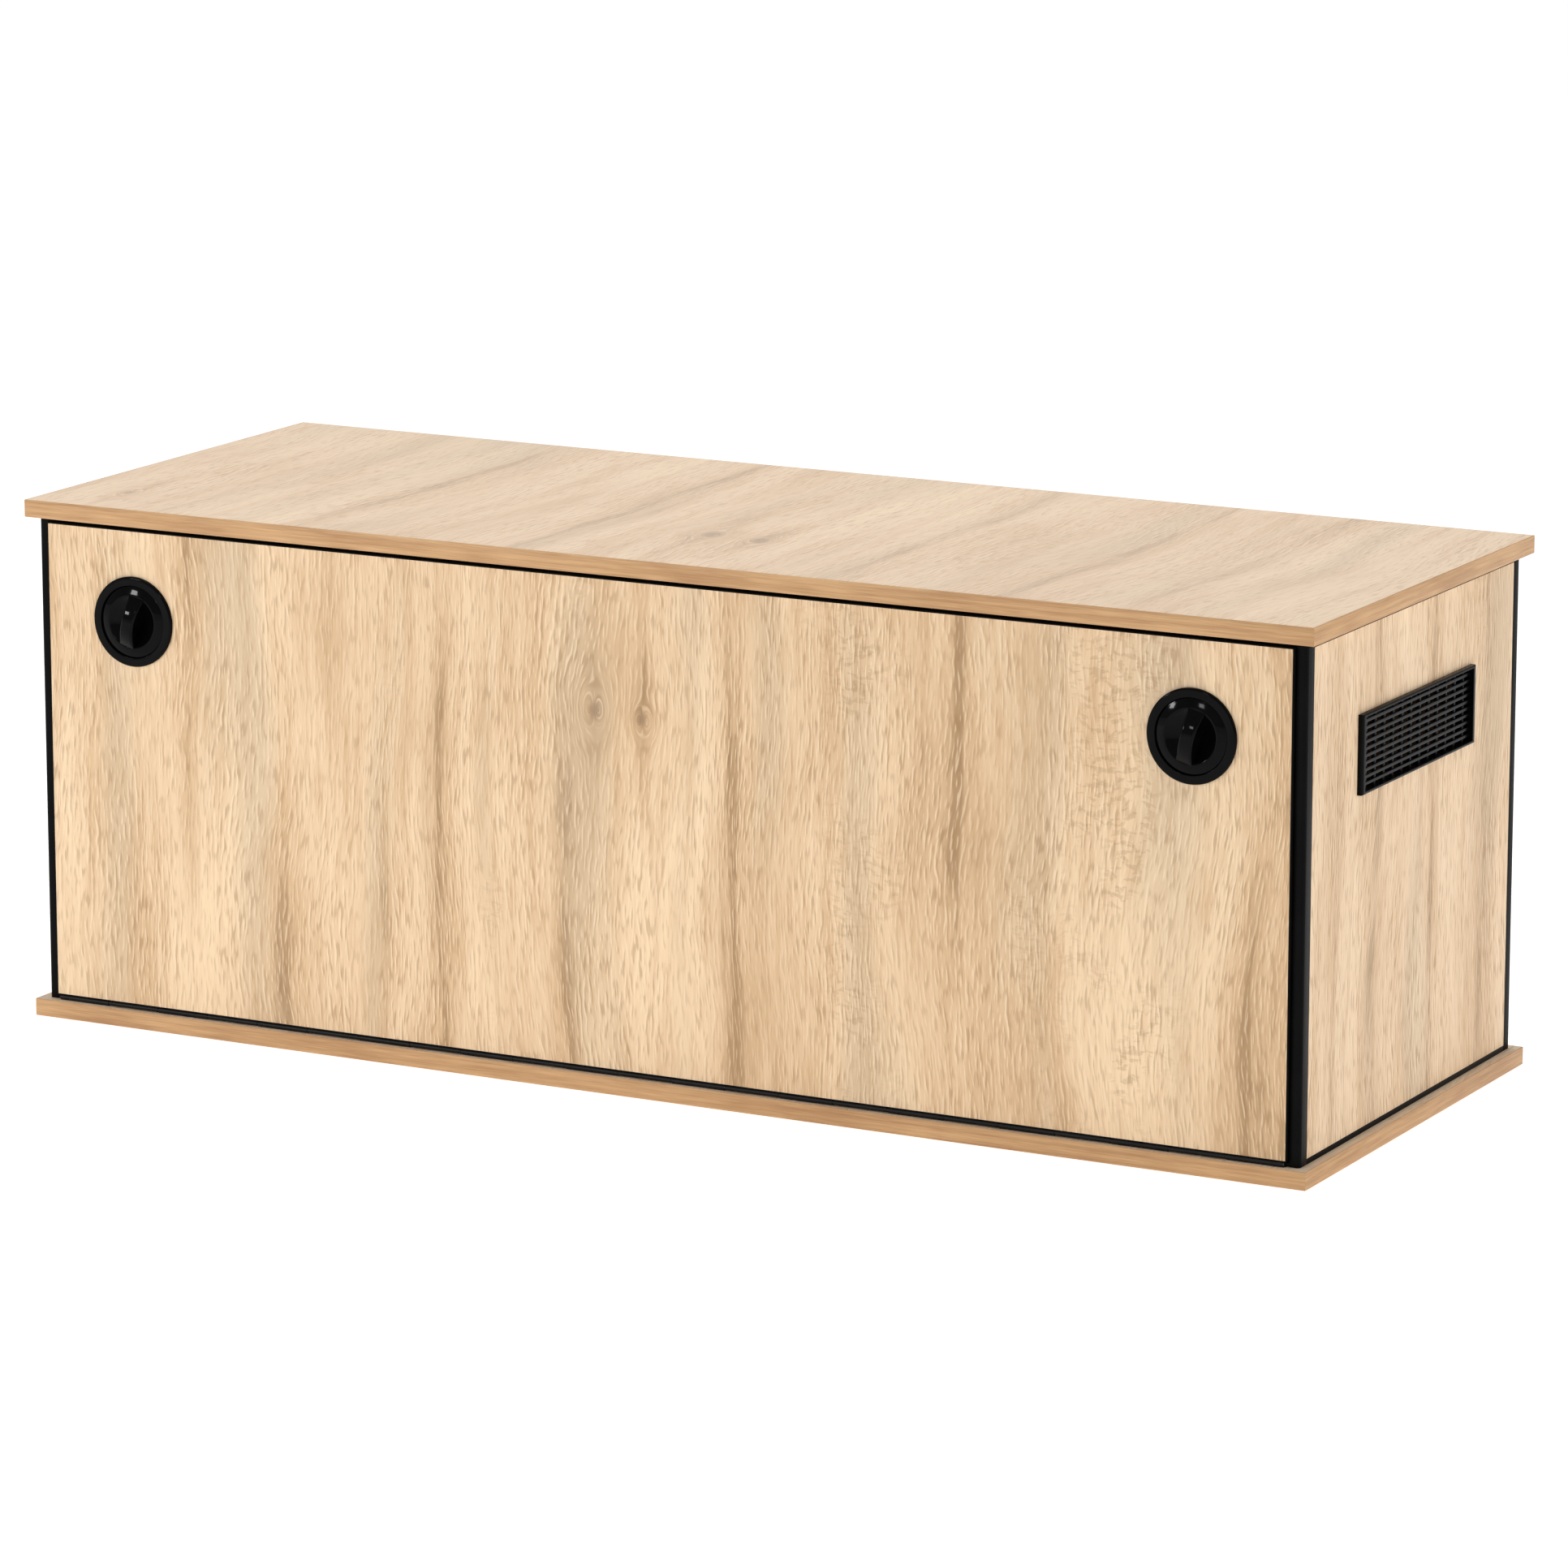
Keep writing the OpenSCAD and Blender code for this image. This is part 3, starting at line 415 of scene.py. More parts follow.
# The sides take a slight painted sheen and the slabs a strong one
side_oak = oak_decor("oak_sides", "Y", "Z", 4.1, side_streaks, painted_sheen=0.05)
back_oak = oak_decor("oak_back", "X", "Z", 7.7, back_streaks, back_knots, back_flecked)
slab_oak = oak_decor("oak_slabs", "X", "Y", 2.9, slab_streaks, slab_knots, slab_flecked, 0.30, 0.6)
edge_oak = oak_strip("oak_edging_strip")
frame_coat = coated_black("black_frame_coat", paint(7, 7, 7), 0.40, 1500.0, 0.00005, 0.05)
edge_black = coated_black("black_edging_strip", paint(9, 9, 9), 0.5, 1800.0, 0.00004, 0.08)
steel_black = coated_black("black_coated_steel", paint(16, 16, 17), 0.38, 1300.0, 0.00005, 0.2)
satin = coated_black("satin_black_moulding", paint(6, 6, 7), 0.22, 2200.0, 0.00004, 0.06)
polished = polished_black("polished_black_moulding")
zinc = plated_steel("plated_steel")
rubber = soft_rubber("soft_black_rubber")


def dress(material, *nodes):
    """Puts a finish on the CAD pieces of the nodes."""
    for name in nodes:
        slots = frame["nodes"][name].data.materials
        slots.clear()
        slots.append(material)


dress(front_oak, "flap_panel")
dress(side_oak, "side_panel_left", "side_panel_right")
dress(back_oak, "back_panel")
dress(slab_oak, "top_slab", "bottom_slab")
dress(edge_oak, "top_slab_edging", "bottom_slab_edging")
dress(edge_black, "flap_edging")
dress(frame_coat, "sill_bar", "head_bar", "rail_rear_bottom", "rail_rear_top")
dress(steel_black, "hinge_leaf_sill", "hinge_leaf_flap")
dress(satin, "cable_port_ring")
dress(rubber, "flap_bumpers")
dress(zinc, "cam_lock_discs", "cam_lock_dowels", "keeper_screws", "hinge_pin",
      "hinge_screws_sill", "hinge_screws_flap")
for side in SIDES:
    dress(frame_coat, f"post_front_{side}", f"post_rear_{side}",
          f"rail_{side}_bottom", f"rail_{side}_top")
    dress(steel_black, f"keeper_{side}")
    dress(satin, f"vent_grille_{side}", f"latch_nut_{side}")
    dress(polished, f"latch_housing_{side}", f"latch_dish_{side}")
    dress(zinc, f"latch_cam_{side}", f"cam_screw_{side}")


# ------------------------------------------------------------- floor and light

AMBIENT = 0.46      # how strongly the white surroundings light the object
FLOOR_GLOW = 0.63   # what the floor gives out, so that it stays white beside the object


def lay_floor():
    """A wide pale floor at the height that the cabinet stands on."""
    reach = 30.0
    mesh = bpy.data.meshes.new("floor")
    mesh.from_pydata([(-reach, -reach, 0), (reach, -reach, 0), (reach, reach, 0), (-reach, reach, 0)],
                     [], [(0, 1, 2, 3)])
    floor = bpy.data.objects.new("floor", mesh)
    bpy.context.scene.collection.objects.link(floor)
    pale = Finish("pale_floor")
    pale.set(Base_Color=(0.8, 0.8, 0.8, 1.0), Roughness=0.9, Specular_IOR_Level=0.0,
             Emission_Color=(1.0, 1.0, 1.0, 1.0), Emission_Strength=FLOOR_GLOW)
    mesh.materials.append(pale.material)


def softbox(name, place, target, width, height, power):
    """An area light at a place, turned to its target. Its power is in watts."""
    light = bpy.data.lights.new(name, "AREA")
    light.shape = "RECTANGLE"
    light.size, light.size_y = width, height
    light.energy = power
    lamp = bpy.data.objects.new(name, light)
    bpy.context.scene.collection.objects.link(lamp)
    lamp.location = place
    lamp.rotation_mode = "QUATERNION"
    lamp.rotation_quaternion = (Vector(target) - Vector(place)).to_track_quat("-Z", "Y")


def light_studio():
    """White surroundings, three small softboxes and a wide one overhead. The camera sees the
    surroundings at full white, while they light the object less."""
    world = bpy.data.worlds.new("studio")
    world.use_nodes = True
    sky = Tree(world.node_tree)
    rays = sky.node("ShaderNodeLightPath")
    strength = sky.math("MULTIPLY_ADD", rays.outputs["Is Camera Ray"], 1.0 - AMBIENT, AMBIENT)
    background = world.node_tree.nodes["Background"]
    background.inputs["Color"].default_value = (1.0, 1.0, 1.0, 1.0)
    sky.feed(background.inputs["Strength"], strength)
    bpy.context.scene.world = world
    bpy.context.scene.view_settings.view_transform = "Standard"
    middle = (0.0, 0.0, 0.2)
    softbox("key", (-1.81, -2.47, 1.05), middle, 0.32, 0.32, 15.7)
    softbox("front", (-0.33, -3.55, 1.44), middle, 0.32, 0.32, 7.5)
    softbox("side", (3.1, 0.1, 1.1), middle, 0.5, 0.5, 13.8)
    softbox("overhead", (-0.2, 0.3, 3.0), middle, 2.4, 1.6, 46.0)


def set_camera():
    """A long lens from the cabinet's right front, a little above it. The aim is just off the middle."""
    azimuth, elevation, distance = math.radians(28.058), math.radians(12.442), 6.085
    focal_length, film_width = 164.88, 36.0
    aim = (cad_low + cad_high) / 2 + Vector((0.0125, 0.006, -0.0026))
    level = math.cos(elevation)
    back = Vector((math.sin(azimuth) * level, -math.cos(azimuth) * level, math.sin(elevation)))
    lens = bpy.data.cameras.new("camera")
    lens.lens, lens.sensor_width = focal_length, film_width
    camera = bpy.data.objects.new("camera", lens)
    bpy.context.scene.collection.objects.link(camera)
    camera.location = aim + back * distance
    camera.rotation_mode = "QUATERNION"
    camera.rotation_quaternion = (-back).to_track_quat("-Z", "Y")
    bpy.context.scene.camera = camera


# --------------------------------------------------------------- pieces' meshes

WELD = 0.002 * MM
SHARP_ANGLE = math.radians(50.0)


def add_piece(name, mesh, finish, node):
    """Puts a finished mesh in the scene in place of the node that it stands for."""
    mesh.materials.clear()
    mesh.materials.append(finish)
    piece = bpy.data.objects.new(name, mesh)
    bpy.context.scene.collection.objects.link(piece)
    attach(piece, BODY_OF[node])
    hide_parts(node)


def smooth_mesh(name, bm, angle=32.0):
    """Ends a bmesh as a mesh that is smooth up to the given edge angle, in degrees."""
    mesh = bpy.data.meshes.new(name)
    bm.to_mesh(mesh)
    bm.free()
    mesh.polygons.foreach_set("use_smooth", [True] * len(mesh.polygons))
    mesh.set_sharp_from_angle(angle=math.radians(angle))
    return mesh


def round_ring(radius):
    return lambda turn: radius


def hex_ring(radius):
    """A hexagon with its corners at radius."""
    sixth = FULL_TURN / 6
    apothem = radius * math.cos(sixth / 2)
    return lambda turn: apothem / math.cos(turn % sixth - sixth / 2)


def cross_ring(reach, half_width):
    """A cross of four arms."""
    quarter = FULL_TURN / 4

    def outline(turn):
        off_arm = abs(math.sin((turn + quarter / 2) % quarter - quarter / 2))
        return min(reach, half_width / max(off_arm, 1e-6))

    return outline


def add_rings(bm, rings, steps, closed=False):
    """Skins rings of (outline, height) round the Z axis; an outline of 0 is a point on the axis."""
    loops = []
    for outline, height in rings:
        if outline == 0:
            loops.append([bm.verts.new((0, 0, height))])
            continue
        turns = [FULL_TURN * i / steps for i in range(steps)]
        loops.append([bm.verts.new((outline(t) * math.cos(t), outline(t) * math.sin(t), height))
                      for t in turns])
    pairs = list(zip(loops, loops[1:])) + ([(loops[-1], loops[0])] if closed else [])
    for low, high in pairs:
        for i in range(steps):
            j = (i + 1) % steps
            corners = [low[i % len(low)], low[j % len(low)], high[j % len(high)], high[i % len(high)]]
            bm.faces.new(list(dict.fromkeys(corners)))


def turned(rings, steps, closed=False):
    """The skin of the rings on its own, with its faces outwards."""
    bm = bmesh.new()
    add_rings(bm, rings, steps, closed)
    bmesh.ops.recalc_face_normals(bm, faces=bm.faces)
    return bm


def plain_rings(*sizes):
    """Round rings from pairs of radius and height."""
    return [(round_ring(radius), height) for radius, height in sizes]


def thread_rings(crest_r, root_r, start, pitch, crests):
    """A thread as rings that shrink and swell, from the height start downwards."""
    rings = []
    for i in range(crests):
        rings += plain_rings((root_r, start - pitch * (i + 0.25)), (crest_r, start - pitch * (i + 0.6)))
    return rings


def facing(direction, place):
    """Turns a fitting whose head is up so that it faces to the front or the back, and moves it."""
    angle = {"front": 90.0, "back": -90.0}[direction]
    return Matrix.Translation(place) @ Matrix.Rotation(math.radians(angle), 4, "X")


def arc(centre_r, centre_z, radius, start, end, steps=6):
    """Round rings along an arc; angles in degrees from straight out, turning up."""
    points = []
    for i in range(steps + 1):
        angle = math.radians(start + (end - start) * i / steps)
        points.append((round_ring(centre_r + radius * math.cos(angle)), centre_z + radius * math.sin(angle)))
    return points


def welded(node):
    """The CAD node's mesh with its loose triangles joined."""
    bm = bmesh.new()
    bm.from_mesh(frame["nodes"][node].data)
    bmesh.ops.remove_doubles(bm, verts=bm.verts, dist=WELD)
    return bm


def loose_solids(node):
    """The lowest and highest corners of each separate solid of a CAD node."""
    bm = welded(node)
    left, found = set(bm.verts), []
    while left:
        todo, solid = [left.pop()], []
        while todo:
            vertex = todo.pop()
            solid.append(vertex.co.copy())
            for edge in vertex.link_edges:
                other = edge.other_vert(vertex)
                if other in left:
                    left.remove(other)
                    todo.append(other)
        found.append((Vector([min(c[i] for c in solid) for i in range(3)]),
                      Vector([max(c[i] for c in solid) for i in range(3)])))
    bm.free()
    return sorted(found, key=lambda pair: tuple(pair[0]))


def eased(node, finish, ease):
    """The CAD node again, with its sharp outer edges eased as a real piece's are."""
    bm = welded(node)
    sharp = [e for e in bm.edges if e.is_manifold and e.is_convex
             and e.calc_face_angle(0.0) > SHARP_ANGLE and e.calc_length() > 4 * ease]
    bmesh.ops.bevel(bm, geom=sharp, offset=ease, segments=2, profile=0.5, affect="EDGES", clamp_overlap=True)
    add_piece(f"{node}_eased", smooth_mesh(node + "_eased", bm, 25.0), finish, node)


# ------------------------------------------------------------ geometry node trees

class Maker(Tree):
    """A Geometry Nodes tree with named inputs, ending in realized geometry with its finish."""

    def __init__(self, name, inputs):
        super().__init__(bpy.data.node_groups.new(name, "GeometryNodeTree"))
        self.sockets = {}
        for label, kind in {"Geometry": "Geometry", **inputs, "Finish": "Material"}.items():
            socket = self.tree.interface.new_socket(label, in_out="INPUT", socket_type=f"NodeSocket{kind}")
            self.sockets[label] = socket.identifier
        self.tree.interface.new_socket("Geometry", in_out="OUTPUT", socket_type="NodeSocketGeometry")
        self.given = self.node("NodeGroupInput").outputs

    def end(self, geometry):
        whole = self.node("GeometryNodeRealizeInstances", {0: geometry})
        finish = self.given["Finish"]
        dressed = self.node("GeometryNodeSetMaterial", {0: whole.outputs[0], "Material": finish})
        self.node("NodeGroupOutput", {0: dressed.outputs[0]})
        return self

    def bake(self, name, finish, points=(), **values):
        """Runs the tree on a mesh of points and returns the result as a plain mesh."""
        seed = bpy.data.meshes.new(name + "_points")
        seed.from_pydata([tuple(p) for p in points], [], [])
        holder = bpy.data.objects.new(name + "_points", seed)
        bpy.context.scene.collection.objects.link(holder)
        modifier = holder.modifiers.new(name, "NODES")
        modifier.node_group = self.tree
        for label, value in {**values, "Finish": finish}.items():
            modifier[self.sockets[label.replace("_", " ")]] = value
        ready = holder.evaluated_get(bpy.context.evaluated_depsgraph_get())
        mesh = bpy.data.meshes.new_from_object(ready)
        bpy.data.objects.remove(holder)
        mesh.name = name
        return mesh


def make_bar_row():
    """A row of round-cornered bars: Half Run is half a bar's length along its own direction."""
    row = Maker("bar_row", {
        "Half Run": "Vector", "Depth": "Float", "Height": "Float", "Corner": "Float",
        "Count": "Int", "Step": "Vector", "Middle": "Vector"})
    given = row.given
    start = row.scaled(given["Half Run"], -1.0)
    line = row.node("GeometryNodeCurvePrimitiveLine", {"Start": start, "End": given["Half Run"]})
    section = row.node("GeometryNodeCurvePrimitiveQuadrilateral", {
        "Width": given["Depth"], "Height": given["Height"]})
    rounded = row.node("GeometryNodeFilletCurve", {
        "Curve": section.outputs[0], "Radius": given["Corner"], "Count": 3}, mode="POLY")
    bar = row.node("GeometryNodeCurveToMesh", {
        "Curve": line.outputs[0], "Profile Curve": rounded.outputs[0], "Fill Caps": True})
    half_row = row.scaled(given["Step"], row.math("MULTIPLY_ADD", given["Count"], -0.5, 0.5))
    first = row.vector("ADD", given["Middle"], half_row)
    places = row.node("GeometryNodeMeshLine", {
        "Count": given["Count"], "Start Location": first, "Offset": given["Step"]})
    bars = row.node("GeometryNodeInstanceOnPoints", {
        "Points": places.outputs[0], "Instance": bar.outputs[0]})
    return row.end(bars.outputs[0])


def make_fitting_set():
    """The same fitting on every point, each turned about its own axis by a seeded amount."""
    fittings = Maker("fitting_set", {
        "Fitting": "Object", "Lay": "Rotation", "Most Turn": "Float", "Seed": "Int"})
    given = fittings.given
    model = fittings.node("GeometryNodeObjectInfo", {"Object": given["Fitting"]}, transform_space="ORIGINAL")
    turn = fittings.node("FunctionNodeRandomValue", data_type="FLOAT")
    fittings.feed(turn.inputs[3], given["Most Turn"])
    fittings.feed(turn.inputs["Seed"], given["Seed"])
    spin = fittings.combine(0.0, 0.0, turn.outputs[1])
    facing = fittings.node("FunctionNodeRotateRotation", {
        "Rotation": given["Lay"], "Rotate By": spin}, rotation_space="LOCAL")
    placed = fittings.node("GeometryNodeInstanceOnPoints", {
        "Points": given["Geometry"], "Instance": model.outputs["Geometry"], "Rotation": facing.outputs[0]})
    return fittings.end(placed.outputs[0])


BAR_ROW = make_bar_row()
FITTING_SET = make_fitting_set()


def fitting_model(name, bm):
    """A hidden fitting that a set is made from. It is at the origin, with its head up."""
    return bpy.data.objects.new(name, smooth_mesh(name, bm))


def add_fittings(name, node, model, finish, lay, pick, seed, most_turn=FULL_TURN, side=0):
    """Puts the fitting at the place that pick gives on each solid of the CAD node. A side of -1
    or 1 takes only the solids on the left or on the right."""
    points = [pick(low, high) for low, high in loose_solids(node) if (low.x + high.x) * side >= 0]
    mesh = FITTING_SET.bake(name, finish, points, Fitting=model, Lay=lay, Most_Turn=most_turn, Seed=seed)
    add_piece(name, mesh, finish, node)


# ------------------------------------------------------------------ the latches

# In a latch's own frame +Z is out to the hand and 0 is the flap's face, so depths are negative
FLANGE_T, FLANGE_R, BARREL_IN, BARREL_R = 3.0 * MM, 38.9 * MM, 31.4 * MM, 33.4 * MM
DISH_R, BOWL_R, BOWL_DEPTH, CREASE = 31.0 * MM, 22.3 * MM, 4.0 * MM, 3.8 * MM
GRIP_RISE, GRIP_CREST_W, GRIP_FOOT_W, GRIP_LEAN = 12.0 * MM, 12.0 * MM, 17.0 * MM, math.radians(14.0)
DISH_BACK, HUB_R, HUB_BACK = -8.0 * MM, 12.0 * MM, -18.3 * MM
JOURNAL_R, JOURNAL_BACK = 8.0 * MM, -21.3 * MM
SPINDLE_HALF, SPINDLE_FRONT = 4.0 * MM, -20.0 * MM
LATHE_STEPS = 128


def pivot(side):
    """Where a latch's axis meets the flap's face."""
    return Vector(JOINTS[f"latch_{side}_turn"]["pos_m"])


def back_of(node, side):
    """Depth of a latch piece's rearmost face, in the latch's own frame."""
    return pivot(side).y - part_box(node)[1].y


def bowl_height(distance):
    """Height of the finger bowl's sphere at a distance from the latch's axis."""
    rise = BOWL_DEPTH + CREASE
    ball = (BOWL_R ** 2 + rise ** 2) / (2 * rise)
    return ball - BOWL_DEPTH - math.sqrt(max(ball ** 2 - distance ** 2, 0.0))


def grip_section(crest, floor):
    """Half of the grip's outline, from its foot up to its crest: a fillet, a flank and a rounded top."""
    tall, steps, sunk = max(crest - floor, 0.0), 6, 0.15 * MM
    corner, fillet = min(2.6 * MM, tall * 0.45), min(1.3 * MM, tall * 0.35)

    def half_width(height):
        share = (height + BOWL_DEPTH) / (GRIP_RISE + BOWL_DEPTH)
        return (GRIP_FOOT_W + (GRIP_CREST_W - GRIP_FOOT_W) * share) / 2

    foot_line, top_line = [], []
    for k in range(steps + 1):
        angle = math.pi / 2 * k / steps
        foot_line.append((half_width(floor) + fillet * (1 - math.sin(angle)),
                          floor + fillet * (1 - math.cos(angle)) - sunk * (1 - k / steps)))
        top_line.append((half_width(crest - corner) - corner * (1 - math.cos(angle)),
                         crest - corner * (1 - math.sin(angle))))
    return foot_line + top_line


def add_grip(bm):
    """Arched grip across the bowl: a lofted D with a rounded crest and a small fillet at its foot."""
    rise = GRIP_RISE - CREASE
    bow = (BOWL_R ** 2 + rise ** 2) / (2 * rise)
    stations = 48
    lean = Matrix.Rotation(-GRIP_LEAN, 3, "Z")
    loops = []
    for i in range(stations + 1):
        along = -BOWL_R * math.cos(math.pi * i / stations)
        crest = GRIP_RISE - bow + math.sqrt(bow ** 2 - along ** 2)
        half = grip_section(crest, bowl_height(abs(along)))
        outline = half + [(-u, w) for u, w in reversed(half)]
        loops.append([bm.verts.new(lean @ Vector((u, along, w))) for u, w in outline])
    for near, far in zip(loops, loops[1:]):
        count = len(near)
        for k in range(count):
            after = (k + 1) % count
            bm.faces.new((near[k], near[after], far[after], far[k]))
    bm.faces.new(loops[0])
    bm.faces.new(list(reversed(loops[-1])))


def add_block(bm, half, low, high, ease):
    """A square bar along Z with eased corners."""
    made = bmesh.ops.create_cube(bm, size=1.0)["verts"]
    bmesh.ops.scale(bm, vec=(2 * half, 2 * half, high - low), verts=made)
    bmesh.ops.translate(bm, vec=(0, 0, (low + high) / 2), verts=made)
    edges = {e for v in made for e in v.link_edges}
    bmesh.ops.bevel(bm, geom=list(edges), offset=ease, segments=2, profile=0.5, affect="EDGES")


def bowl_rings():
    """From the middle of the bowl out to the crease where the ring's crown starts."""
    steps = 20
    radii = [BOWL_R * i / steps for i in range(1, steps)] + [BOWL_R - 0.3 * MM]
    rings = [(0, -BOWL_DEPTH)] + [(round_ring(radius), bowl_height(radius)) for radius in radii]
    return rings + plain_rings((BOWL_R + 0.1 * MM, CREASE - 0.08 * MM))


def crown_rings():
    """The dish's ring: a small crown, a long bow that falls to the edge, and the rounded edge."""
    crown_r, crown_bow, ring_bow, edge_r, slope = BOWL_R + 0.9 * MM, 3.0 * MM, 60.0 * MM, 0.5 * MM, 77.0
    rings = arc(crown_r, CREASE - crown_bow, crown_bow, 95.0, slope, 5)
    lean = math.radians(slope)
    middle_r = crown_r + (crown_bow - ring_bow) * math.cos(lean)
    middle_z = CREASE - crown_bow + (crown_bow - ring_bow) * math.sin(lean)
    tip = math.degrees(math.acos((DISH_R - edge_r - middle_r) / ring_bow))
    rings += arc(middle_r, middle_z, ring_bow, slope, tip, 8)[1:]
    rings += arc(DISH_R - edge_r, rings[-1][1] - edge_r, edge_r, tip, 0.0, 5)[1:]
    return rings


def build_dish(side):
    """The turning dish: bowl, rounded ring, grip, and the journal and square drive behind."""
    node, ease = f"latch_dish_{side}", 0.3 * MM
    rings = bowl_rings() + crown_rings() + plain_rings(
        (DISH_R, DISH_BACK), (HUB_R, DISH_BACK), (HUB_R, HUB_BACK), (JOURNAL_R, HUB_BACK),
        (JOURNAL_R, JOURNAL_BACK + ease), (JOURNAL_R - 0.4 * MM, JOURNAL_BACK))
    rings.append((0, JOURNAL_BACK))
    bm = bmesh.new()
    add_rings(bm, rings, LATHE_STEPS)
    add_grip(bm)
    add_block(bm, SPINDLE_HALF, back_of(node, side), SPINDLE_FRONT, ease)
    bmesh.ops.recalc_face_normals(bm, faces=bm.faces)
    bm.transform(facing("front", pivot(side)))
    add_piece(f"latch_turning_dish_{side}", smooth_mesh("dish", bm, 38.0), polished, node)


def build_housing(side):
    """The fixed ring: a flange with rounded lips and the barrel that goes through the flap."""
    node, web = f"latch_housing_{side}", 2.5 * MM
    back = back_of(node, side)
    outer_lip, inner_lip, barrel_ease, bore_ease = 1.6 * MM, 0.35 * MM, 0.5 * MM, 0.25 * MM
    bore = JOURNAL_R + 0.05 * MM
    rings = arc(FLANGE_R - outer_lip, FLANGE_T - outer_lip, outer_lip, 0.0, 90.0, 8)
    rings += arc(BARREL_IN + inner_lip, FLANGE_T - inner_lip, inner_lip, 90.0, 180.0, 5)
    rings += plain_rings(
        (BARREL_IN, back + web), (bore + bore_ease, back + web), (bore, back + web - bore_ease),
        (bore, back + bore_ease), (bore + bore_ease, back), (BARREL_R - barrel_ease, back),
        (BARREL_R, back + barrel_ease), (BARREL_R, 0.0), (FLANGE_R, 0.0))
    bm = turned(rings, LATHE_STEPS, closed=True)
    bm.transform(facing("front", pivot(side)))
    add_piece(f"latch_flange_{side}", smooth_mesh("flange", bm, 38.0), polished, node)


def build_nut(side):
    """Ring nut behind the flap, with gripping flats round it."""
    node = f"latch_nut_{side}"
    front, back = pivot(side).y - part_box(node)[0].y, back_of(node, side)
    outer, inner, flats, flute = FLANGE_R * 0.985, BARREL_R + 0.1 * MM, 24, 0.5 * MM
    front_ease, back_ease = 0.6 * MM, 1.2 * MM

    def scalloped(radius):
        return lambda turn: radius - flute * (1 + math.cos(turn * flats)) ** 2 / 2

    rings = [(scalloped(outer), front - front_ease), (scalloped(outer - front_ease), front),
             (round_ring(inner), front), (round_ring(inner), back),
             (scalloped(outer - back_ease), back), (scalloped(outer), back + back_ease)]
    bm = turned(rings, 8 * flats, closed=True)
    bm.transform(facing("front", pivot(side)))
    add_piece(f"latch_ring_nut_{side}", smooth_mesh("ring_nut", bm), satin, node)


def pan_screw(head_r, head_t, socket_r, shank_r, length):
    """A pan-head screw with a hexagon socket: its seat is at the origin and its head is up."""
    ease, bow, socket_floor = 0.2 * MM, head_t * 0.45, head_t * 0.35
    rings = [(0, socket_floor), (hex_ring(socket_r), socket_floor), (hex_ring(socket_r), head_t - ease),
             (hex_ring(socket_r + ease), head_t)]
    rings += arc(head_r - bow, head_t - bow, bow, 90.0, 0.0, 6)
    rings += plain_rings((head_r, 0.0), (shank_r, 0.0))
    pitch = shank_r * 0.6
    rings += thread_rings(shank_r, shank_r * 0.78, 0.0, pitch, int(length / pitch) - 1)
    return turned(rings + [(0, -length)], 60)


def build_cam_screw(side):
    """The screw that clamps the cam to the spindle."""
    node, head_t = f"cam_screw_{side}", 3 * MM
    bm = pan_screw(7 * MM, head_t, 2.5 * MM, 2.4 * MM, 9 * MM)
    bm.transform(facing("back", Vector((pivot(side).x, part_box(node)[1].y - head_t, pivot(side).z))))
    add_piece(f"cam_screw_head_{side}", smooth_mesh("cam_screw_head", bm), zinc, node)


# ------------------------------------------------------------------- the grilles

LONG_BARS, CROSS_BARS = 10, 12
LONG_END_SHARE, CROSS_END_SHARE = 0.1, 0.02     # the end gaps over the gaps between bars, in pitches
END_RIM, EDGE_RIM, RIM_RISE, SPIGOT = 5.6 * MM, 2.5 * MM, 4.8 * MM, 14.0 * MM
LONG_H, LONG_T, LONG_FRONT = 2.9 * MM, 1.1 * MM, 1.4 * MM
CROSS_W, CROSS_T = 3.6 * MM, 2.9 * MM


def rectangle_ring(bm, x, middle, half_y, half_z, corner):
    """One round-cornered rectangle of a rim, standing across the X axis."""
    steps, verts = 5, []
    for quarter, (sy, sz) in enumerate(((1, 1), (-1, 1), (-1, -1), (1, -1))):
        for i in range(steps + 1):
            angle = math.radians(90.0 * quarter + 90.0 * i / steps)
            verts.append(bm.verts.new((x, middle.y + sy * (half_y - corner) + corner * math.cos(angle),
                                       middle.z + sz * (half_z - corner) + corner * math.sin(angle))))
    return verts


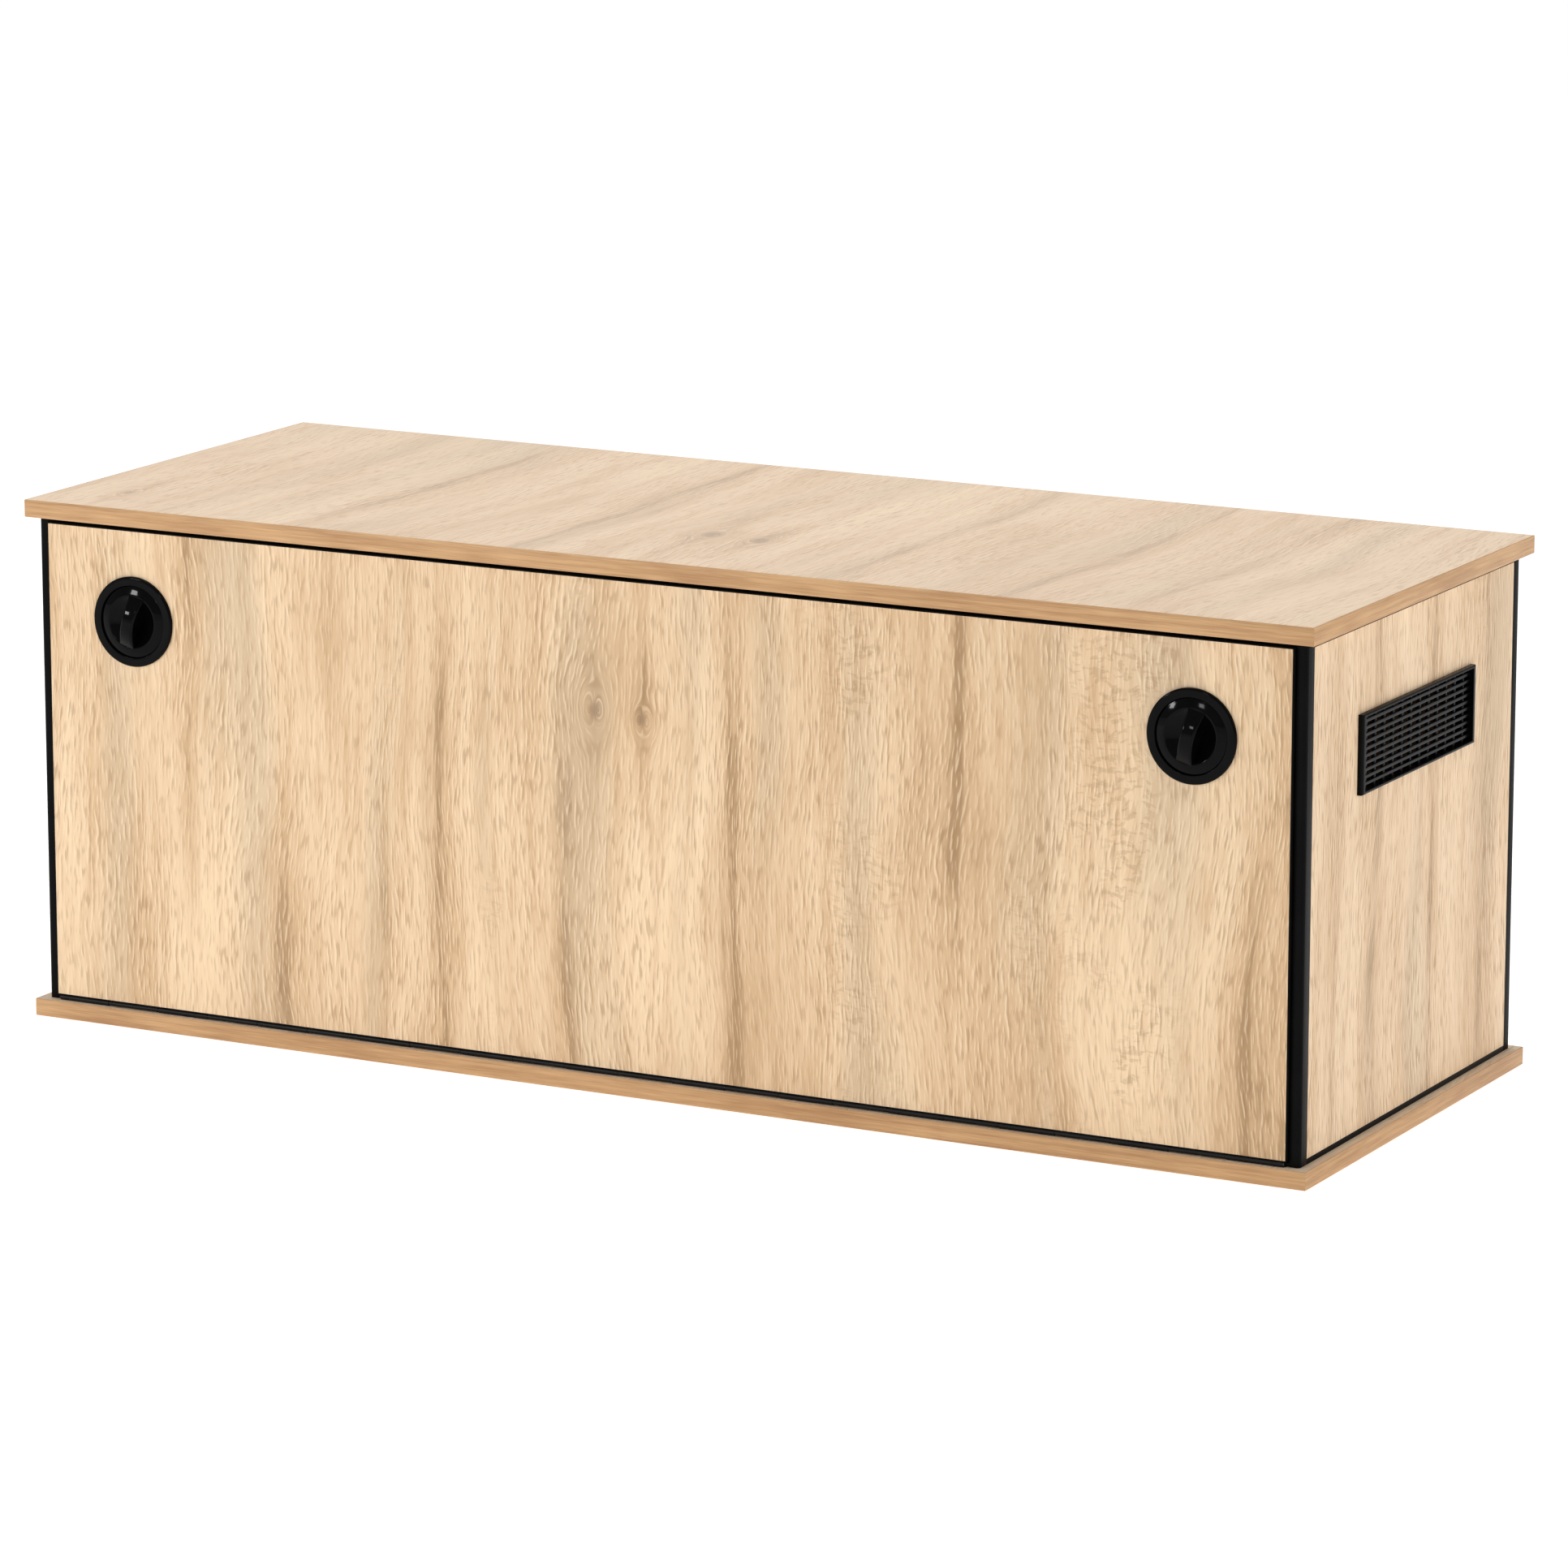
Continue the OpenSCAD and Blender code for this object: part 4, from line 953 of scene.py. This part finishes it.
def build_grille(side):
    """Side vent grille: a soft-edged rim, long bars in front and cross bars behind them."""
    node, sign = f"vent_grille_{side}", SIDES[side]
    low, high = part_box(node)
    panel_low, panel_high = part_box(f"side_panel_{side}")
    face = panel_high.x if sign > 0 else panel_low.x
    middle = (low + high) / 2
    half_y, half_z = (high.y - low.y) / 2, (high.z - low.z) / 2
    open_y, open_z = half_y - END_RIM, half_z - EDGE_RIM
    end_soft, edge_soft, rise_soft, steps = 3.0 * MM, 1.0 * MM, 2.0 * MM, 6
    corner, lip_highlight, wall = 0.8 * MM, 0.4 * MM, 1.2 * MM
    loops = [(0.0, half_y, half_z, corner)]
    for i in range(steps + 1):
        angle = math.pi / 2 * i / steps
        inward = 1 - math.cos(angle)
        loops.append((RIM_RISE - rise_soft * (1 - math.sin(angle)), half_y - end_soft * inward,
                      half_z - edge_soft * inward, corner))
    loops += [(RIM_RISE, open_y + lip_highlight, open_z + lip_highlight, lip_highlight), (RIM_RISE - lip_highlight, open_y, open_z, lip_highlight),
              (-SPIGOT, open_y, open_z, lip_highlight), (-SPIGOT, open_y + wall, open_z + wall, lip_highlight),
              (0.0, open_y + wall, open_z + wall, lip_highlight)]
    bm = bmesh.new()
    rings = [rectangle_ring(bm, face + sign * x, middle, y, z, round_r) for x, y, z, round_r in loops]
    for near, far in zip(rings, rings[1:] + rings[:1]):
        for i in range(len(near)):
            j = (i + 1) % len(near)
            bm.faces.new((near[i], near[j], far[j], far[i]))
    bmesh.ops.recalc_face_normals(bm, faces=bm.faces)
    add_piece(f"vent_rim_{side}", smooth_mesh("vent_rim", bm), satin, node)
    add_bars(side, face, middle, open_y, open_z)


def add_bars(side, face, middle, open_y, open_z):
    """The grille's two rows of bars, which run a little way into the rim and into each other."""
    sign, into_rim, into_bar = SIDES[side], 0.3 * MM, 0.05 * MM
    long_pitch = (2 * open_z - LONG_H) / (LONG_BARS + LONG_END_SHARE)
    cross_pitch = (2 * open_y - CROSS_W) / (CROSS_BARS + CROSS_END_SHARE)
    long_x = face + sign * (LONG_FRONT - LONG_T / 2)
    cross_x = face + sign * (LONG_FRONT - LONG_T - CROSS_T / 2 + into_bar)
    long_bars = BAR_ROW.bake(
        f"vent_long_bars_{side}", satin, Depth=LONG_T, Height=LONG_H, Corner=0.45 * MM,
        Half_Run=(0.0, open_y + into_rim, 0.0), Count=LONG_BARS,
        Step=(0.0, 0.0, long_pitch), Middle=(long_x, middle.y, middle.z))
    cross_bars = BAR_ROW.bake(
        f"vent_cross_bars_{side}", satin, Depth=CROSS_T, Height=CROSS_W, Corner=1.1 * MM,
        Half_Run=(0.0, 0.0, open_z + into_rim), Count=CROSS_BARS,
        Step=(0.0, cross_pitch, 0.0), Middle=(cross_x, middle.y, middle.z))
    for mesh in (long_bars, cross_bars):
        mesh.polygons.foreach_set("use_smooth", [True] * len(mesh.polygons))
        mesh.set_sharp_from_angle(angle=math.radians(40.0))
        add_piece(mesh.name, mesh, satin, f"vent_grille_{side}")


# ------------------------------------------------------------- screws and fittings

UP, DOWN, FRONT = (0.0, 0.0, 0.0), (math.pi, 0.0, 0.0), (math.pi / 2, 0.0, 0.0)


def middle_of(low, high, **fixed):
    """The middle of a solid, with any coordinate that is given in its place."""
    middle = (low + high) / 2
    return tuple(fixed.get(axis, value) for axis, value in zip("xyz", middle))


def countersunk_screw(head_r, shank_r, head_t, length):
    """A countersunk screw with a cross recess, its head's face at the origin, with a threaded shank."""
    arm, half, ease, pitch = head_r * 0.55, head_r * 0.13, 0.1 * MM, 1.1 * MM
    root_r = shank_r * 0.72
    rings = [(0, -0.9 * MM), (cross_ring(arm * 0.35, half * 0.8), -0.85 * MM),
             (cross_ring(arm * 0.9, half * 0.9), -0.25 * MM), (cross_ring(arm, half), 0.0)]
    rings += plain_rings((head_r - ease, 0.0), (head_r, -ease), (shank_r, -head_t))
    rings += thread_rings(shank_r, root_r, -head_t, pitch, int((length - head_t - 2 * MM) / pitch))
    rings += plain_rings((root_r, -length + 1.6 * MM))
    return turned(rings + [(0, -length)], 48)


def cam_lock_disc():
    """The cam lock's disc with its cross slot, its face at the origin."""
    disc_r, disc_t, ease, round_r = 7.5 * MM, 12 * MM, 0.3 * MM, 0.5 * MM
    rings = [(0, -2.4 * MM), (cross_ring(2.6 * MM, 0.8 * MM), -2.2 * MM),
             (cross_ring(5.1 * MM, 0.9 * MM), -1.2 * MM), (cross_ring(5.3 * MM, 1.0 * MM), 0.0)]
    rings += plain_rings((disc_r - 2 * ease, 0.0), (disc_r - ease, -0.1 * MM), (disc_r, -round_r),
                         (disc_r, -disc_t + 0.4 * MM), (disc_r - ease, -disc_t))
    return turned(rings + [(0, -disc_t)], 96)


def soft_stop(radius, tall):
    """A rubber stop: a short round foot under a tall dome, whose top is at the origin."""
    dome_h, bow, steps = 0.7 * tall, 0.45 * radius, 6
    rings = [(0, -tall), (round_ring(radius), -tall)]
    for i in range(steps + 1):
        angle = math.pi / 2 * i / steps
        rings += plain_rings((radius - bow * (1 - math.cos(angle)), dome_h * (math.sin(angle) - 1)))
    return turned(rings + [(0, 0.0)], 40)


def build_hinge_screws():
    model = fitting_model("leaf_screw", countersunk_screw(2.6 * MM, 1.4 * MM, 1.8 * MM, 11 * MM))
    add_fittings("sill_leaf_screws", "hinge_screws_sill", model, zinc, UP,
                 lambda low, high: middle_of(low, high, z=high.z), seed=3)
    add_fittings("flap_leaf_screws", "hinge_screws_flap", model, zinc, DOWN,
                 lambda low, high: middle_of(low, high, z=low.z), seed=5)


def build_inner_fittings():
    """Keeper screws and cam-lock discs inside the side panels, and the flap's soft stops."""
    head_t = 2 * MM
    screw = fitting_model("keeper_screw", pan_screw(3.4 * MM, head_t, 1.4 * MM, 1.7 * MM, 12 * MM))
    disc = fitting_model("cam_lock_disc", cam_lock_disc())
    for side, sign in SIDES.items():
        inward = (0.0, -sign * math.pi / 2, 0.0)

        def face(low, high):
            return middle_of(low, high, x=low.x if sign > 0 else high.x)

        def seat(low, high):
            return middle_of(low, high, x=(low.x if sign > 0 else high.x) + sign * head_t)

        add_fittings(f"keeper_screws_{side}", "keeper_screws", screw, zinc, inward, seat, 7, side=sign)
        add_fittings(f"cam_lock_discs_{side}", "cam_lock_discs", disc, zinc, inward, face, 9, 0.5, sign)
    low, high = loose_solids("flap_bumpers")[0]
    stop = fitting_model("soft_stop", soft_stop((high.x - low.x) / 2, high.y - low.y))
    add_fittings("flap_soft_stops", "flap_bumpers", stop, rubber, FRONT,
                 lambda low, high: middle_of(low, high, y=low.y), seed=11)


def build_port_ring():
    """Cable port liner: a soft-edged flange outside and a thin sleeve through the back panel."""
    low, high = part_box("cable_port_ring")
    middle, outer, deep = (low + high) / 2, (high.x - low.x) / 2, high.y - low.y
    bore, wall, flange_t = outer - 7 * MM, 2 * MM, 2.5 * MM
    outer_lip, inner_lip, bore_ease, wall_ease = 1.5 * MM, 1.2 * MM, 0.5 * MM, 0.4 * MM
    rings = arc(outer - outer_lip, -outer_lip, outer_lip, 0.0, 90.0, 6)
    rings += arc(bore + inner_lip, -inner_lip, inner_lip, 90.0, 180.0, 6)
    rings += plain_rings(
        (bore, -deep + bore_ease), (bore + bore_ease, -deep), (bore + wall - wall_ease, -deep),
        (bore + wall, -deep + wall_ease), (bore + wall, -flange_t), (outer, -flange_t))
    bm = turned(rings, 96, closed=True)
    bm.transform(facing("back", Vector((middle.x, high.y, middle.z))))
    add_piece("cable_port_liner", smooth_mesh("port_liner", bm), satin, "cable_port_ring")


for side in SIDES:
    build_dish(side)
    build_housing(side)
    build_nut(side)
    build_cam_screw(side)
    build_grille(side)
    eased(f"latch_cam_{side}", zinc, 0.3 * MM)
    eased(f"keeper_{side}", steel_black, 0.3 * MM)
    eased(f"post_front_{side}", frame_coat, 0.5 * MM)
    eased(f"post_rear_{side}", frame_coat, 0.5 * MM)
    for end in ("bottom", "top"):
        eased(f"rail_{side}_{end}", frame_coat, 0.3 * MM)
build_hinge_screws()
build_inner_fittings()
build_port_ring()
for slab in ("top", "bottom"):
    eased(f"{slab}_slab_edging", edge_oak, 0.5 * MM)
eased("flap_edging", edge_black, 0.3 * MM)
eased("head_bar", frame_coat, 0.4 * MM)
eased("sill_bar", frame_coat, 0.4 * MM)


lay_floor()
light_studio()
set_camera()
